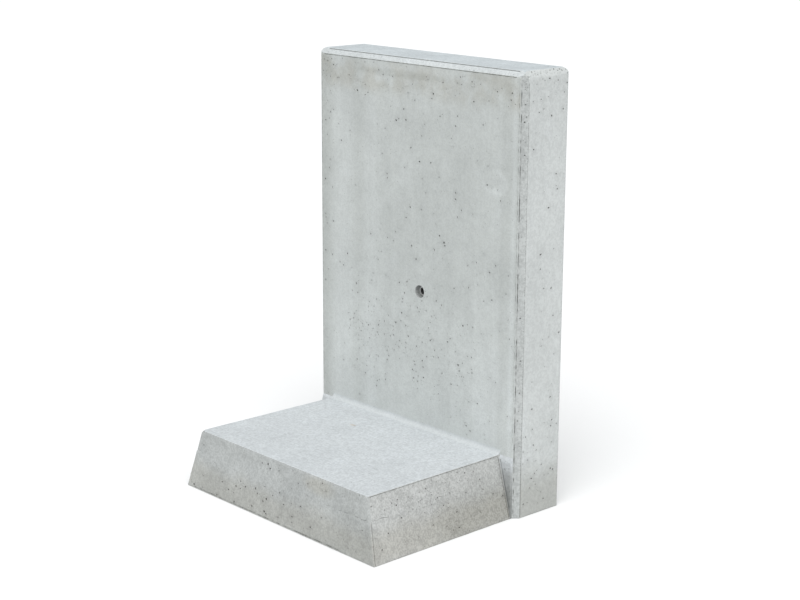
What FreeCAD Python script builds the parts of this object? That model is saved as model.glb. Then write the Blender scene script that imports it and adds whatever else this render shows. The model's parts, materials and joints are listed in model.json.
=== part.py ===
import FreeCAD, Part
import math
import os

# Precast L-shaped retaining wall element: one concrete casting, its lifting socket,
# and the tied bar cage inside it. Millimetres, +Z up, X across the wall, -Y towards the
# toe of the foot. The origin is the middle of the bounding box, on the underside.

# ---- the casting ----
wall_width = 500.0
wall_height = 735.0
wall_thickness = 108.0
edge_bevel = 9.0              # on every edge of the wall but the lowest ones
foot_projection = 305.0       # from the wall's soil face to the toe
foot_height = 104.0
foot_side_inset = 29.0        # how far each side of the foot leans in at its top
foot_toe_inset = 12.0         # how far the toe leans in at its top
foot_toe_flare = 3.0          # how much further out each side of the foot is at the toe
foot_seam_height = 66.0       # the foot's upright corners are sharp below this and round above
foot_corner_radius = 3.0
cove_radius = 8.0             # hollow fillet between the foot's top and the wall
band_step = 4.0               # how far the wall's lowest band stands proud of its soil face
band_slope_height = 6.0       # the band's sloping upper edge
fuse_depth = 2.0              # how far joined shapes reach into each other

# ---- the lifting socket ----
socket_level = 343.0
socket_bar_gap = 2.7          # between the socket and the middle bar that it stands beside
recess_diameter = 22.4
recess_depth = 7.4
socket_diameter = 16.6
socket_length = 70.0
socket_bore_diameter = 10.2   # core of an M12 thread
socket_bore_depth = 40.0
socket_mouth_chamfer = 0.9
pin_diameter = 8.0
pin_length = 60.0
pin_end_distance = 9.0        # from the pin's axis to the socket's blind end
pin_hole_clearance = 0.1      # on the radius

# ---- the bars ----
concrete_cover = 25.0
main_bar_diameter = 8.0
cross_bar_diameter = 6.0
hanger_diameter = 6.0
bend_factor = 2.5             # bend radius on a bar's centreline, in bar diameters
bar_gap = 0.5                 # between bars that cross
stem_bar_count = 5
stem_leg_length = 160.0       # of the stem bars' lower ends, along the underside
foot_bar_rise = 200.0         # of the foot bars' upturned ends, above the foot's top
hanger_leg_length = 180.0
lower_cross_count = 2         # level bars of the wall below the socket
lower_cross_start = 56.0      # above the foot's top
lower_cross_stop = 78.0       # below the socket's axis
upper_cross_count = 4         # level bars of the wall above the socket
upper_cross_start = 27.0      # above the socket's axis
upper_cross_stop = 50.0       # below the wall's top
foot_cross_count = 3
foot_cross_start = 66.0       # from the toe to the first bar
foot_cross_pitch = 80.0
leg_cross_count = 2
leg_cross_start = 68.0        # from the wall's soil face back to the first bar
leg_cross_pitch = 60.0
back_cross_count = 2
back_cross_start = 96.0       # above the foot's top
back_cross_pitch = 90.0

# ---- tie wires ----
wire_diameter = 1.4
wire_clearance = 0.5          # between a tie and the bars it goes round
twist_diameter = 2.4
twist_length = 9.0

# ---- wheel spacers ----
spacer_skin = 1.0             # concrete between a spacer's rim and the face it stands on
spacer_width = 10.0
spacer_hub_clearance = 0.2    # on the radius
spacer_window_diameter = 11.0
spacer_window_count = 5

# ---- worked out from the sizes above ----
half_width = wall_width / 2
toe_y = -(foot_projection + wall_thickness) / 2
soil_face_y = toe_y + foot_projection
proud_y = soil_face_y - band_step
back_face_y = soil_face_y + wall_thickness
foot_half_base = half_width - edge_bevel
foot_half_top = foot_half_base - foot_side_inset
main_radius = main_bar_diameter / 2
cross_radius = cross_bar_diameter / 2
hanger_radius = hanger_diameter / 2
socket_radius = socket_diameter / 2
main_bend = bend_factor * main_bar_diameter
hanger_bend = bend_factor * hanger_diameter
crossing_pitch = main_radius + bar_gap + cross_radius
socket_offset = main_radius + socket_bar_gap + socket_radius

stem_bar_y = soil_face_y + concrete_cover + main_radius
stem_cross_y = stem_bar_y + crossing_pitch
leg_z = concrete_cover + main_radius
leg_cross_z = leg_z + crossing_pitch
foot_bar_z = foot_height - concrete_cover - main_radius
foot_cross_z = foot_bar_z - crossing_pitch
back_leg_y = back_face_y - concrete_cover - main_radius
back_cross_y = back_leg_y - crossing_pitch

outer_bar_x = foot_half_top - concrete_cover - main_radius
bar_pitch = 2 * outer_bar_x / (stem_bar_count - 1)
foot_bar_count = stem_bar_count - 1


def evenly(first, last, count):
    """Evenly spaced places from the first to the last."""
    return [first + i * (last - first) / (count - 1) for i in range(count)]


lower_cross_zs = evenly(
    foot_height + lower_cross_start, socket_level - lower_cross_stop, lower_cross_count
)
upper_cross_zs = evenly(
    socket_level + upper_cross_start, wall_height - upper_cross_stop, upper_cross_count
)
stem_cross_zs = lower_cross_zs + upper_cross_zs
stem_bar_xs = evenly(-outer_bar_x, outer_bar_x, stem_bar_count)
foot_bar_xs = evenly(bar_pitch / 2 - outer_bar_x, outer_bar_x - bar_pitch / 2, foot_bar_count)
foot_cross_ys = [toe_y + foot_cross_start + i * foot_cross_pitch for i in range(foot_cross_count)]
leg_cross_ys = [soil_face_y - leg_cross_start - i * leg_cross_pitch for i in range(leg_cross_count)]
back_cross_zs = [foot_height + back_cross_start + i * back_cross_pitch
                 for i in range(back_cross_count)]

socket_mouth_y = soil_face_y + recess_depth
socket_end_y = socket_mouth_y + socket_length
pin_y = socket_end_y - pin_end_distance
hanger_y = min(pin_y - pin_diameter / 2, back_cross_y - cross_radius) - bar_gap - hanger_radius

X_AXIS = FreeCAD.Vector(1, 0, 0)
Y_AXIS = FreeCAD.Vector(0, 1, 0)
Z_AXIS = FreeCAD.Vector(0, 0, 1)
FULL_TURN = 360.0


def vec(x, y, z):
    return FreeCAD.Vector(x, y, z)


def polygon_face(points):
    """A flat face on the closed polygon through the points."""
    return Part.Face(Part.makePolygon(points + [points[0]]))


def foot_half_width(z):
    """Half the foot's width beside the wall, at a height."""
    return foot_half_base - foot_side_inset * z / foot_height


def foot_slice(z):
    """The foot's outline at a height, open-ended inside the wall."""
    half = foot_half_width(z)
    front = toe_y + foot_toe_inset * z / foot_height
    front_half = half + foot_toe_flare * (proud_y - front) / (proud_y - toe_y)
    inner = soil_face_y + fuse_depth
    right = [vec(front_half, front, z), vec(half, proud_y, z), vec(half, inner, z)]
    left = [vec(-p.x, p.y, z) for p in reversed(right)]
    return Part.makePolygon(right + left + [right[0]])


def foot_block(low, high):
    """The foot between two heights, with sharp corners."""
    return Part.makeLoft([foot_slice(low), foot_slice(high)], True, True)


def is_toe_corner(edge):
    """Does this edge run up a corner of the toe?"""
    rise = abs(edge.Vertexes[0].Z - edge.Vertexes[1].Z)
    return rise > fuse_depth and max(v.Y for v in edge.Vertexes) < toe_y + 2 * foot_toe_inset


def is_wall_bevel(edge):
    """Does this edge of the wall's box get a bevel?"""
    return max(v.Z for v in edge.Vertexes) > wall_height / 2


def outer_casting():
    """The concrete's outside: wall, foot, proud band, cove and socket recess."""
    wall = Part.makeBox(wall_width, wall_thickness, wall_height, vec(-half_width, soil_face_y, 0))
    wall = wall.makeChamfer(edge_bevel, [e for e in wall.Edges if is_wall_bevel(e)])

    lower_foot = foot_block(0, foot_seam_height)
    upper_foot = foot_block(foot_seam_height, foot_height)
    corners = [e for e in upper_foot.Edges if is_toe_corner(e)]
    upper_foot = upper_foot.makeFillet(foot_corner_radius, corners)

    inner_y = soil_face_y + fuse_depth
    band = polygon_face([
        vec(-foot_half_base, inner_y, 0),
        vec(-foot_half_base, proud_y, 0),
        vec(-foot_half_base, proud_y, foot_height - band_slope_height),
        vec(-foot_half_base, soil_face_y, foot_height),
        vec(-foot_half_base, inner_y, foot_height),
    ]).extrude(X_AXIS * (2 * foot_half_base))

    cove = Part.makeBox(
        2 * foot_half_top,
        cove_radius + fuse_depth,
        cove_radius + fuse_depth,
        vec(-foot_half_top, soil_face_y - cove_radius, foot_height - fuse_depth),
    )
    hollow = Part.makeCylinder(
        cove_radius,
        wall_width,
        vec(-half_width, soil_face_y - cove_radius, foot_height + cove_radius),
        X_AXIS,
    )
    recess = Part.makeCylinder(
        recess_diameter / 2,
        recess_depth + cove_radius,
        vec(socket_offset, soil_face_y - cove_radius, socket_level),
        Y_AXIS,
    )
    casting = wall.fuse([lower_foot, upper_foot, band, cove.cut(hollow)]).removeSplitter()
    return casting.cut(recess)


def round_bar(diameter, path):
    """A bar along a wire of straight runs and tangent arcs."""
    start = path.Edges[0]
    direction = start.tangentAt(start.FirstParameter)
    ring = Part.makeCircle(diameter / 2, start.valueAt(start.FirstParameter), direction)
    return path.makePipeShell([Part.Wire(ring)], True, True)


def bent_path(points, radius):
    """Straight runs through the points, with an arc of one radius at each inner point."""
    edges = []
    start = points[0]
    for before, corner, after in zip(points, points[1:], points[2:]):
        inward = (before - corner).normalize()
        outward = (after - corner).normalize()
        half_turn = (math.pi - inward.getAngle(outward)) / 2
        setback = radius * math.tan(half_turn)
        bisector = (inward + outward).normalize()
        middle = corner + bisector * (radius / math.cos(half_turn) - radius)
        arc_start = corner + inward * setback
        arc_end = corner + outward * setback
        edges.append(Part.LineSegment(start, arc_start).toShape())
        edges.append(Part.Arc(arc_start, middle, arc_end).toShape())
        start = arc_end
    edges.append(Part.LineSegment(start, points[-1]).toShape())
    return Part.Wire(edges)


def stem_bar(x):
    """A main bar of the wall, near its soil face, with its lower end along the underside."""
    top = wall_height - concrete_cover
    points = [
        vec(x, stem_bar_y, top),
        vec(x, stem_bar_y, leg_z),
        vec(x, stem_bar_y - stem_leg_length, leg_z),
    ]
    return round_bar(main_bar_diameter, bent_path(points, main_bend))


def foot_bar(x):
    """A main bar of the foot, near its top, with its inner end turned up in the wall."""
    points = [
        vec(x, toe_y + foot_toe_inset + concrete_cover, foot_bar_z),
        vec(x, back_leg_y, foot_bar_z),
        vec(x, back_leg_y, foot_height + foot_bar_rise),
    ]
    return round_bar(main_bar_diameter, bent_path(points, main_bend))


def cross_bar(y, z, reach):
    """A straight bar across the wall, as far as reach each side of the middle."""
    return Part.makeCylinder(cross_radius, 2 * reach, vec(-reach, y, z), X_AXIS)


def tie(corner, main_axis, towards_cross):
    """A wire ring round two bars that cross, with its twisted end bent flat along the cross bar.

    corner is on the main bar's axis, and towards_cross points from it to the cross bar.
    """
    stack_middle = corner + towards_cross * (crossing_pitch + cross_radius - main_radius) / 2
    stack_half = (crossing_pitch + cross_radius + main_radius) / 2
    ring_radius = stack_half + wire_clearance + wire_diameter / 2
    normal = (main_axis - X_AXIS).normalize()
    ring = Part.makeTorus(ring_radius, wire_diameter / 2, stack_middle, normal)
    twist_reach = ring_radius + (twist_diameter - wire_diameter) / 2
    twist_start = stack_middle + towards_cross * twist_reach
    twist = Part.makeCylinder(twist_diameter / 2, twist_length, twist_start, X_AXIS)
    return ring.fuse(twist)


def alternate_ties(corners, main_axis, towards_cross):
    """Ties at every other crossing of a grid, as one compound; corners is a list of rows."""
    chosen = [
        tie(corner, main_axis, towards_cross)
        for row, line in enumerate(corners)
        for column, corner in enumerate(line)
        if (row + column) % 2 == 0
    ]
    return Part.makeCompound(chosen)


def spacer_wheel(centre, axis, side, with_openings):
    """A wheel spacer round a main bar; side is any direction across its axis.

    Without its openings it is the bed that the wheel and the bar in its hub lie in.
    """
    rim_radius = concrete_cover + main_radius - spacer_skin
    hub_radius = main_radius + spacer_hub_clearance
    base = centre - axis * spacer_width / 2
    wheel = Part.makeCylinder(rim_radius, spacer_width, base, axis)
    window_circle = (rim_radius + hub_radius) / 2
    windows = []
    for i in range(spacer_window_count):
        turn = FreeCAD.Rotation(axis, FULL_TURN * (i + 0.5) / spacer_window_count)
        place = base + turn.multVec(side) * window_circle
        windows.append(
            Part.makeCylinder(spacer_window_diameter / 2, spacer_width, place, axis)
        )
    if with_openings:
        windows.append(Part.makeCylinder(hub_radius, spacer_width, base, axis))
    return wheel.cut(windows)


def lifting_socket():
    """The threaded sleeve, closed at its tail, with a hole across the tail for the pin."""
    body = Part.makeCylinder(
        socket_radius, socket_length, vec(socket_offset, socket_mouth_y, socket_level), Y_AXIS
    )
    bore_radius = socket_bore_diameter / 2
    bore = Part.makeCylinder(
        bore_radius, socket_bore_depth, vec(socket_offset, socket_mouth_y, socket_level), Y_AXIS
    )
    mouth = Part.makeCone(
        bore_radius + socket_mouth_chamfer,
        bore_radius,
        socket_mouth_chamfer,
        vec(socket_offset, socket_mouth_y, socket_level),
        Y_AXIS,
    )
    pin_hole = Part.makeCylinder(
        pin_diameter / 2 + pin_hole_clearance,
        socket_diameter + 2 * fuse_depth,
        vec(socket_offset - socket_radius - fuse_depth, pin_y, socket_level),
        X_AXIS,
    )
    return body.cut([bore, mouth, pin_hole])


def socket_bed():
    """The space that the socket fills in the concrete."""
    return Part.makeCylinder(
        socket_radius, socket_length, vec(socket_offset, socket_mouth_y, socket_level), Y_AXIS
    )


def socket_cross_pin():
    """The pin through the socket's tail."""
    start = vec(socket_offset - pin_length / 2, pin_y, socket_level)
    return Part.makeCylinder(pin_diameter / 2, pin_length, start, X_AXIS)


def socket_hanger_bar():
    """The U bar over the socket, with both legs down, which spreads the lifting load."""
    saddle_top = socket_level + socket_radius + bar_gap + hanger_radius
    low = saddle_top - hanger_bend - hanger_leg_length
    left = socket_offset - hanger_bend
    right = socket_offset + hanger_bend
    shoulder = saddle_top - hanger_bend
    path = Part.Wire([
        Part.LineSegment(vec(left, hanger_y, low), vec(left, hanger_y, shoulder)).toShape(),
        Part.Arc(
            vec(left, hanger_y, shoulder),
            vec(socket_offset, hanger_y, saddle_top),
            vec(right, hanger_y, shoulder),
        ).toShape(),
        Part.LineSegment(vec(right, hanger_y, shoulder), vec(right, hanger_y, low)).toShape(),
    ])
    return round_bar(hanger_diameter, path)


def numbered(name, shapes):
    """Pairs of a numbered node name and a shape."""
    return [(f"{name}_{i}", shape) for i, shape in enumerate(shapes, start=1)]


def cage():
    """Every bar and tie of the cage, as pairs of node name and shape."""
    wall_reach = half_width - concrete_cover
    foot_reach = foot_half_width(foot_cross_z) - concrete_cover
    leg_reach = foot_half_width(leg_cross_z) - concrete_cover
    pieces = []
    pieces += numbered("stem_bar", [stem_bar(x) for x in stem_bar_xs])
    pieces += numbered("foot_bar", [foot_bar(x) for x in foot_bar_xs])
    pieces += numbered(
        "stem_cross_bar", [cross_bar(stem_cross_y, z, wall_reach) for z in stem_cross_zs]
    )
    pieces += numbered(
        "foot_cross_bar", [cross_bar(y, foot_cross_z, foot_reach) for y in foot_cross_ys]
    )
    pieces += numbered(
        "leg_cross_bar", [cross_bar(y, leg_cross_z, leg_reach) for y in leg_cross_ys]
    )
    pieces += numbered(
        "back_cross_bar", [cross_bar(back_cross_y, z, wall_reach) for z in back_cross_zs]
    )
    stem_corners = [[vec(x, stem_bar_y, z) for x in stem_bar_xs] for z in stem_cross_zs]
    foot_corners = [[vec(x, y, foot_bar_z) for x in foot_bar_xs] for y in foot_cross_ys]
    leg_corners = [[vec(x, y, leg_z) for x in stem_bar_xs] for y in leg_cross_ys]
    back_corners = [[vec(x, back_leg_y, z) for x in foot_bar_xs] for z in back_cross_zs]
    pieces.append(("stem_tie_wires", alternate_ties(stem_corners, Z_AXIS, Y_AXIS)))
    pieces.append(("foot_tie_wires", alternate_ties(foot_corners, Y_AXIS, -Z_AXIS)))
    pieces.append(("leg_tie_wires", alternate_ties(leg_corners, Y_AXIS, Z_AXIS)))
    pieces.append(("back_tie_wires", alternate_ties(back_corners, Z_AXIS, -Y_AXIS)))
    return pieces


def spacer_places():
    """Each wheel spacer as (name, centre, axis): halfway between neighbouring cross bars."""
    places = []
    low = (stem_cross_zs[0] + stem_cross_zs[1]) / 2
    high = (stem_cross_zs[-2] + stem_cross_zs[-1]) / 2
    for z in (low, high):
        for x in (stem_bar_xs[0], stem_bar_xs[-1]):
            places.append(("stem_spacer", vec(x, stem_bar_y, z), Z_AXIS))
    for before, after in zip(foot_cross_ys, foot_cross_ys[1:]):
        for x in (foot_bar_xs[0], foot_bar_xs[-1]):
            places.append(("foot_spacer", vec(x, (before + after) / 2, foot_bar_z), Y_AXIS))
    leg_y = (leg_cross_ys[0] + leg_cross_ys[1]) / 2
    for x in (stem_bar_xs[0], stem_bar_xs[-1]):
        places.append(("leg_spacer", vec(x, leg_y, leg_z), Y_AXIS))
    return places


def spacers(with_openings):
    """The wheel spacers, or their beds, as pairs of node name and shape."""
    pieces = []
    counts = {}
    for name, centre, axis in spacer_places():
        counts[name] = counts.get(name, 0) + 1
        wheel = spacer_wheel(centre, axis, X_AXIS, with_openings)
        pieces.append((f"{name}_{counts[name]}", wheel))
    return pieces


def main():
    """Build every piece and write each to its own file."""
    bars = cage()
    pin = socket_cross_pin()
    hanger = socket_hanger_bar()
    beds = [shape for _, shape in bars]
    beds += [shape for _, shape in spacers(with_openings=False)]
    beds += [socket_bed(), pin, hanger]
    concrete = outer_casting().cut(beds)
    nodes = [("concrete_body", concrete)]
    nodes.append(("lifting_socket", lifting_socket()))
    nodes.append(("socket_cross_pin", pin))
    nodes.append(("socket_hanger_bar", hanger))
    nodes += bars
    nodes += spacers(with_openings=True)
    os.makedirs("parts", exist_ok=True)
    for name, shape in nodes:
        shape.exportStep(f"parts/{name}.step")
        print(name, "solids", len(shape.Solids), "valid", shape.isValid(), "mm3", round(shape.Volume))


main()
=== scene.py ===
"""The looks of a precast L-shaped retaining wall element, built round its CAD frame.

Everything is in metres, in the frame's own axes: +Z up the wall, +X along its width and -Y
towards the toe of its foot. The concrete is one closed skin put together from panels, with
real air pores, mould seams and worn edges. The lifting sleeve gets its thread, and every bar,
tie and spacer inside keeps its CAD shape and gets its own finish.
"""

import json
import logging
import math
import random
from collections.abc import Callable, Iterable, Sequence
from dataclasses import dataclass, field
from enum import Enum

import bpy
import numpy as np
from mathutils import Matrix, Vector, noise
from mathutils.geometry import delaunay_2d_cdt


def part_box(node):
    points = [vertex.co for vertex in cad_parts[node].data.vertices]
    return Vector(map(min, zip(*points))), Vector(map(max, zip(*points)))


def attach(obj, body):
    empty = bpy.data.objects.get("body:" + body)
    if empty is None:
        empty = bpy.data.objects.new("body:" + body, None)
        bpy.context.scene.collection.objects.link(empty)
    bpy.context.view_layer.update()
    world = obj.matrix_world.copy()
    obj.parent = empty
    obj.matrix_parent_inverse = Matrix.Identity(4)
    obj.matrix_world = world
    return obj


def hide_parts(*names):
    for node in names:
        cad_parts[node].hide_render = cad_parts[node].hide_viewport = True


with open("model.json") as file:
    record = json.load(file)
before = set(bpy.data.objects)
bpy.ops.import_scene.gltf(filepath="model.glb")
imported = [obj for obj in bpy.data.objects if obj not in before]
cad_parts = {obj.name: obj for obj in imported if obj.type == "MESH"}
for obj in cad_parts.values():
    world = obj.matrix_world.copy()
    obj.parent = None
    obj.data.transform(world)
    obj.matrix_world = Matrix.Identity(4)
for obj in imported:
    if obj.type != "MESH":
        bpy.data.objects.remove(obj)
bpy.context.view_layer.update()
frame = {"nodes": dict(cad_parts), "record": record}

log = logging.getLogger("wall_element")

MM = 0.001
Colour = tuple[float, float, float]


class Surface(Enum):
    """The kinds of surface that the casting shows, each with its own finish."""

    SOIL_FACE = "soil_face"
    BACK_FACE = "back_face"
    END_FACE = "end_face"
    UPRIGHT_BEVEL = "upright_bevel"
    TOP_BEVEL = "top_bevel"
    TOP_FACE = "top_face"
    FLOATED = "floated_foot_top"
    COVE = "cove"
    TOE = "toe"
    FOOT_SIDE = "foot_side"
    BAND = "lower_band"
    UNDERSIDE = "underside"
    RECESS = "socket_recess"


class Axis(Enum):
    """The frame's axes, by their place in a vector."""

    X = 0
    Y = 1
    Z = 2


# ---- Pores and seams ----


@dataclass(frozen=True)
class FeaturePoint:
    """A point that a pore or a seam adds to its panel.

    Attributes:
        u: Place along the panel's first axis.
        v: Place along the panel's second axis.
        depth: How far the point lies below the panel.
        shade: How deep in shadow and dirt it is, from 0 to 1.
    """

    u: float
    v: float
    depth: float
    shade: float


@dataclass(frozen=True)
class Pore:
    """A pit left by an air bubble against the mould.

    Attributes:
        u: Place of its middle along the panel's first axis.
        v: Place of its middle along the panel's second axis.
        radius: Its mean radius at the surface.
        stretch: Its length over its width.
        turn: The direction of its length, in radians.
        seed: What sets its own irregular outline.
    """

    u: float
    v: float
    radius: float
    stretch: float
    turn: float
    seed: float

    def keep_out(self, points: np.ndarray) -> np.ndarray:
        """Tell which panel points are too near to keep.

        Args:
            points: Places in the panel, one row each.

        Returns:
            A mask that is true where a point is too near.
        """
        gap = np.hypot(points[:, 0] - self.u, points[:, 1] - self.v)
        return gap < self.radius * self.stretch * 1.35 + 0.3 * MM

    def points(self) -> list[FeaturePoint]:
        """Give the rings of the pit, from its rim to its bottom.

        Returns:
            The points, and the middle of its bottom first.
        """
        sides = 6 if self.radius < 1.1 * MM else 9
        rings = ((1.0, 0.0, 0.1), (0.72, 0.55, 0.8), (0.34, 0.95, 1.0))
        # force sets how deep the pit is and how much painted shade it gets.
        force = min(1.0, 0.3 + 0.7 * max(0.0, self.radius / MM - 0.7))
        depth = self.radius * (0.5 + 0.75 * force)
        found = [FeaturePoint(self.u, self.v, depth, force)]
        for share, sink, shade in rings[: 3 if sides > 6 else 2]:
            for k in range(sides):
                angle = math.tau * (k + 0.3 * share) / sides
                wobble = 1 + 0.22 * noise.noise(Vector((math.cos(angle), math.sin(angle), self.seed)))
                along = self.radius * share * wobble * math.cos(angle) * self.stretch
                across = self.radius * share * wobble * math.sin(angle) / self.stretch
                found.append(
                    FeaturePoint(
                        self.u + along * math.cos(self.turn) - across * math.sin(self.turn),
                        self.v + along * math.sin(self.turn) + across * math.cos(self.turn),
                        depth * sink,
                        shade * force,
                    )
                )
        return found


@dataclass(frozen=True)
class Seam:
    """A thin groove where two parts of the mould met.

    Attributes:
        start: Its first end in the panel.
        end: Its other end in the panel.
        half_width: Half its width at the surface.
        depth: Its mean depth.
        patchiness: How much its depth comes and goes, from 0 to 1.
        sway: How far it wanders from the straight line.
    """

    start: tuple[float, float]
    end: tuple[float, float]
    half_width: float
    depth: float
    patchiness: float = 0.5
    sway: float = 0.0

    def keep_out(self, points: np.ndarray) -> np.ndarray:
        """Tell which panel points are too near to keep.

        Args:
            points: Places in the panel, one row each.

        Returns:
            A mask that is true where a point is too near.
        """
        start, end = np.array(self.start), np.array(self.end)
        return segment_gap(points, start, end) < self.half_width + self.sway + 0.9 * MM

    def points(self) -> list[FeaturePoint]:
        """Give both rims and the bottom of the groove, step by step.

        Returns:
            The points.
        """
        start, end = Vector(self.start), Vector(self.end)
        along = (end - start).normalized()
        across = Vector((-along.y, along.x))
        count = max(2, round((end - start).length / (2.5 * MM)))
        found = []
        for step in range(count + 1):
            middle = start.lerp(end, step / count)
            wander = noise.noise(Vector((middle.x * 60, middle.y * 60, 7.0))) * self.sway
            middle = middle + across * wander
            swing = noise.noise(Vector((middle.x * 130, middle.y * 130, 3.0)))
            force = min(1.0, max(0.05, 1 - self.patchiness * (0.6 + 1.6 * swing)))
            # The groove's bottom row gets painted shade through the pit attribute, and its rims get a
            # little.
            for side, sink, shade in ((-1, 0.0, 0.05), (0, 1.0, force), (1, 0.0, 0.05)):
                place = middle + across * self.half_width * side
                found.append(FeaturePoint(place.x, place.y, self.depth * sink * force, shade))
        return found


Feature = Pore | Seam


def pairs_round(items: Sequence) -> list[tuple]:
    """Pair each item with the next one, and the last with the first."""
    return list(zip(items, [*items[1:], *items[:1]]))


def circle(sides: int) -> list[Vector]:
    """Give points evenly round a circle of radius 1, in the plane of the wall's face."""
    angles = [math.tau * k / sides for k in range(sides)]
    return [Vector((math.cos(angle), 0, math.sin(angle))) for angle in angles]


def add_object(name: str, data: bpy.types.ID) -> bpy.types.Object:
    """Put a new object in the scene.

    Args:
        name: The object's name.
        data: Its mesh, camera or lamp.

    Returns:
        The new object.
    """
    made = bpy.data.objects.new(name, data)
    bpy.context.collection.objects.link(made)
    return made


def segment_gap(points: np.ndarray, start: np.ndarray, end: np.ndarray) -> np.ndarray:
    """Measure how far points in a plane are from a segment.

    Args:
        points: The places, one row each.
        start: One end of the segment.
        end: The other end.

    Returns:
        The distances, in the order of the points.
    """
    run = end - start
    share = np.clip(((points - start) @ run) / max(run @ run, 1e-18), 0.0, 1.0)
    return np.hypot(*(points - start - share[:, None] * run).T)


# ---- Panels and the skin that they make ----


@dataclass
class Panel:
    """One flat piece of the casting's outside.

    Attributes:
        surface: The kind of surface it shows.
        corners: Its corners, in order round it.
        outward: Any direction that leaves the concrete through it.
        grid: The distance between the points inside it.
        waviness: How far it dips between its edges.
        wave_length: The length of those dips.
        hole: The middle and radius of a round hole in it, or nothing.
        features: Its pores and seams.
    """

    surface: Surface
    corners: list[Vector]
    outward: Vector
    grid: float = 12 * MM
    waviness: float = 0.25 * MM
    wave_length: float = 70 * MM
    hole: tuple[Vector, float] | None = None
    features: list[Feature] = field(default_factory=list)

    def __post_init__(self) -> None:
        """Work out the panel's own axes, with its corners anticlockwise from outside."""
        normal = Vector()
        for a, b in pairs_round(self.corners):
            normal += a.cross(b)
        if normal.dot(self.outward) < 0:
            self.corners = self.corners[::-1]
            normal = -normal
        self.normal = normal.normalized()
        helper = Vector((0, 0, 1)) if abs(self.normal.z) < 0.9 else Vector((0, 1, 0))
        self.u_axis = helper.cross(self.normal).normalized()
        self.v_axis = self.normal.cross(self.u_axis)
        self.middle = sum(self.corners, Vector()) / len(self.corners)
        self.outline = np.array([self.flat(c) for c in self.corners])

    def flat(self, point: Vector) -> tuple[float, float]:
        """Give a point's place along the panel's two axes."""
        return point.dot(self.u_axis), point.dot(self.v_axis)

    def solid(self, u: float, v: float, depth: float) -> Vector:
        """Give the point at a place in the panel, and at a depth below it."""
        base = self.normal * (self.middle.dot(self.normal) - depth)
        return base + self.u_axis * u + self.v_axis * v

    def add_seam(
        self,
        ends: Iterable[Vector],
        half_width: float,
        depth: float,
        patchiness: float,
        sway: float = 0.0,
    ) -> None:
        """Add a seam between two points of the panel, with the sizes that Seam names."""
        self.features.append(Seam(*map(self.flat, ends), half_width, depth, patchiness, sway))

    def edge_gap(self, points: np.ndarray) -> np.ndarray:
        """Measure how far inside the outline points are, as less than nothing outside it.

        Args:
            points: Places in the panel, one row each.

        Returns:
            The distances from the nearest edge.
        """
        gap = np.full(len(points), np.inf)
        inside = np.zeros(len(points), bool)
        for a, b in zip(self.outline, np.roll(self.outline, -1, axis=0)):
            gap = np.minimum(gap, segment_gap(points, a, b))
            crosses = (a[1] > points[:, 1]) != (b[1] > points[:, 1])
            rise = b[1] - a[1] if b[1] != a[1] else 1.0
            inside ^= crosses & (points[:, 0] < (b[0] - a[0]) * (points[:, 1] - a[1]) / rise + a[0])
        if self.hole:
            centre = np.array(self.flat(self.hole[0]))
            from_hole = np.hypot(*(points - centre).T) - self.hole[1]
            gap = np.minimum(gap, np.abs(from_hole))
            inside &= from_hole > 0
        return np.where(inside, gap, -gap)

    def add_pores(
        self,
        rng: random.Random,
        count: int,
        sizes: tuple[float, float],
        weight: Callable[[Vector], float],
        turn: float = 0.0,
    ) -> None:
        """Scatter pores over the panel.

        Args:
            rng: The source of chance.
            count: How many places to try.
            sizes: The smallest and the largest radius.
            weight: How likely a pore is at a point, from 0 to 1.
            turn: The direction that long pores follow, in radians.
        """
        low, high = self.outline.min(axis=0), self.outline.max(axis=0)
        small, large = sizes
        for _ in range(count):
            u, v = rng.uniform(low[0], high[0]), rng.uniform(low[1], high[1])
            radius = small + (large - small) * rng.random() ** 3
            stretch = 1 + 0.35 * rng.random() ** 2
            keep = rng.random() < weight(self.solid(u, v, 0.0))
            lean = turn + rng.uniform(-0.6, 0.6)
            seed = rng.uniform(0, 50)
            place = np.array([[u, v]])
            if not keep or self.edge_gap(place)[0] < radius * stretch + 0.6 * MM:
                continue
            pore = Pore(u, v, radius, stretch, lean, seed)
            reach = radius * stretch * 1.2 + 0.4 * MM
            if not any(self.touches(pore, other, reach) for other in self.features):
                self.features.append(pore)

    @staticmethod
    def touches(pore: Pore, other: Feature, reach: float) -> bool:
        """Tell whether a new pore would run into an earlier feature.

        Args:
            pore: The new pore.
            other: The earlier feature.
            reach: How much room the pore needs.

        Returns:
            Whether they are too near.
        """
        if isinstance(other, Pore):
            near = math.hypot(pore.u - other.u, pore.v - other.v)
            return near < reach + other.radius * other.stretch * 1.2
        place = np.array([[pore.u, pore.v]])
        return segment_gap(place, np.array(other.start), np.array(other.end))[0] < reach + 2 * MM


@dataclass(frozen=True)
class Wear:
    """How the casting's arrises have rubbed and chipped.

    Attributes:
        rub: How far an arris has rounded back at most.
        chip: How much further its deepest chips reach.
        chip_share: The share of an arris that is chipped.
        corner: How far a corner has rounded back.
        seated: The height under which corners stay sharp.
    """

    rub: float = 0.75 * MM
    chip: float = 1.5 * MM
    chip_share: float = 0.16
    corner: float = 2.6 * MM
    seated: float = 80 * MM


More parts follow.
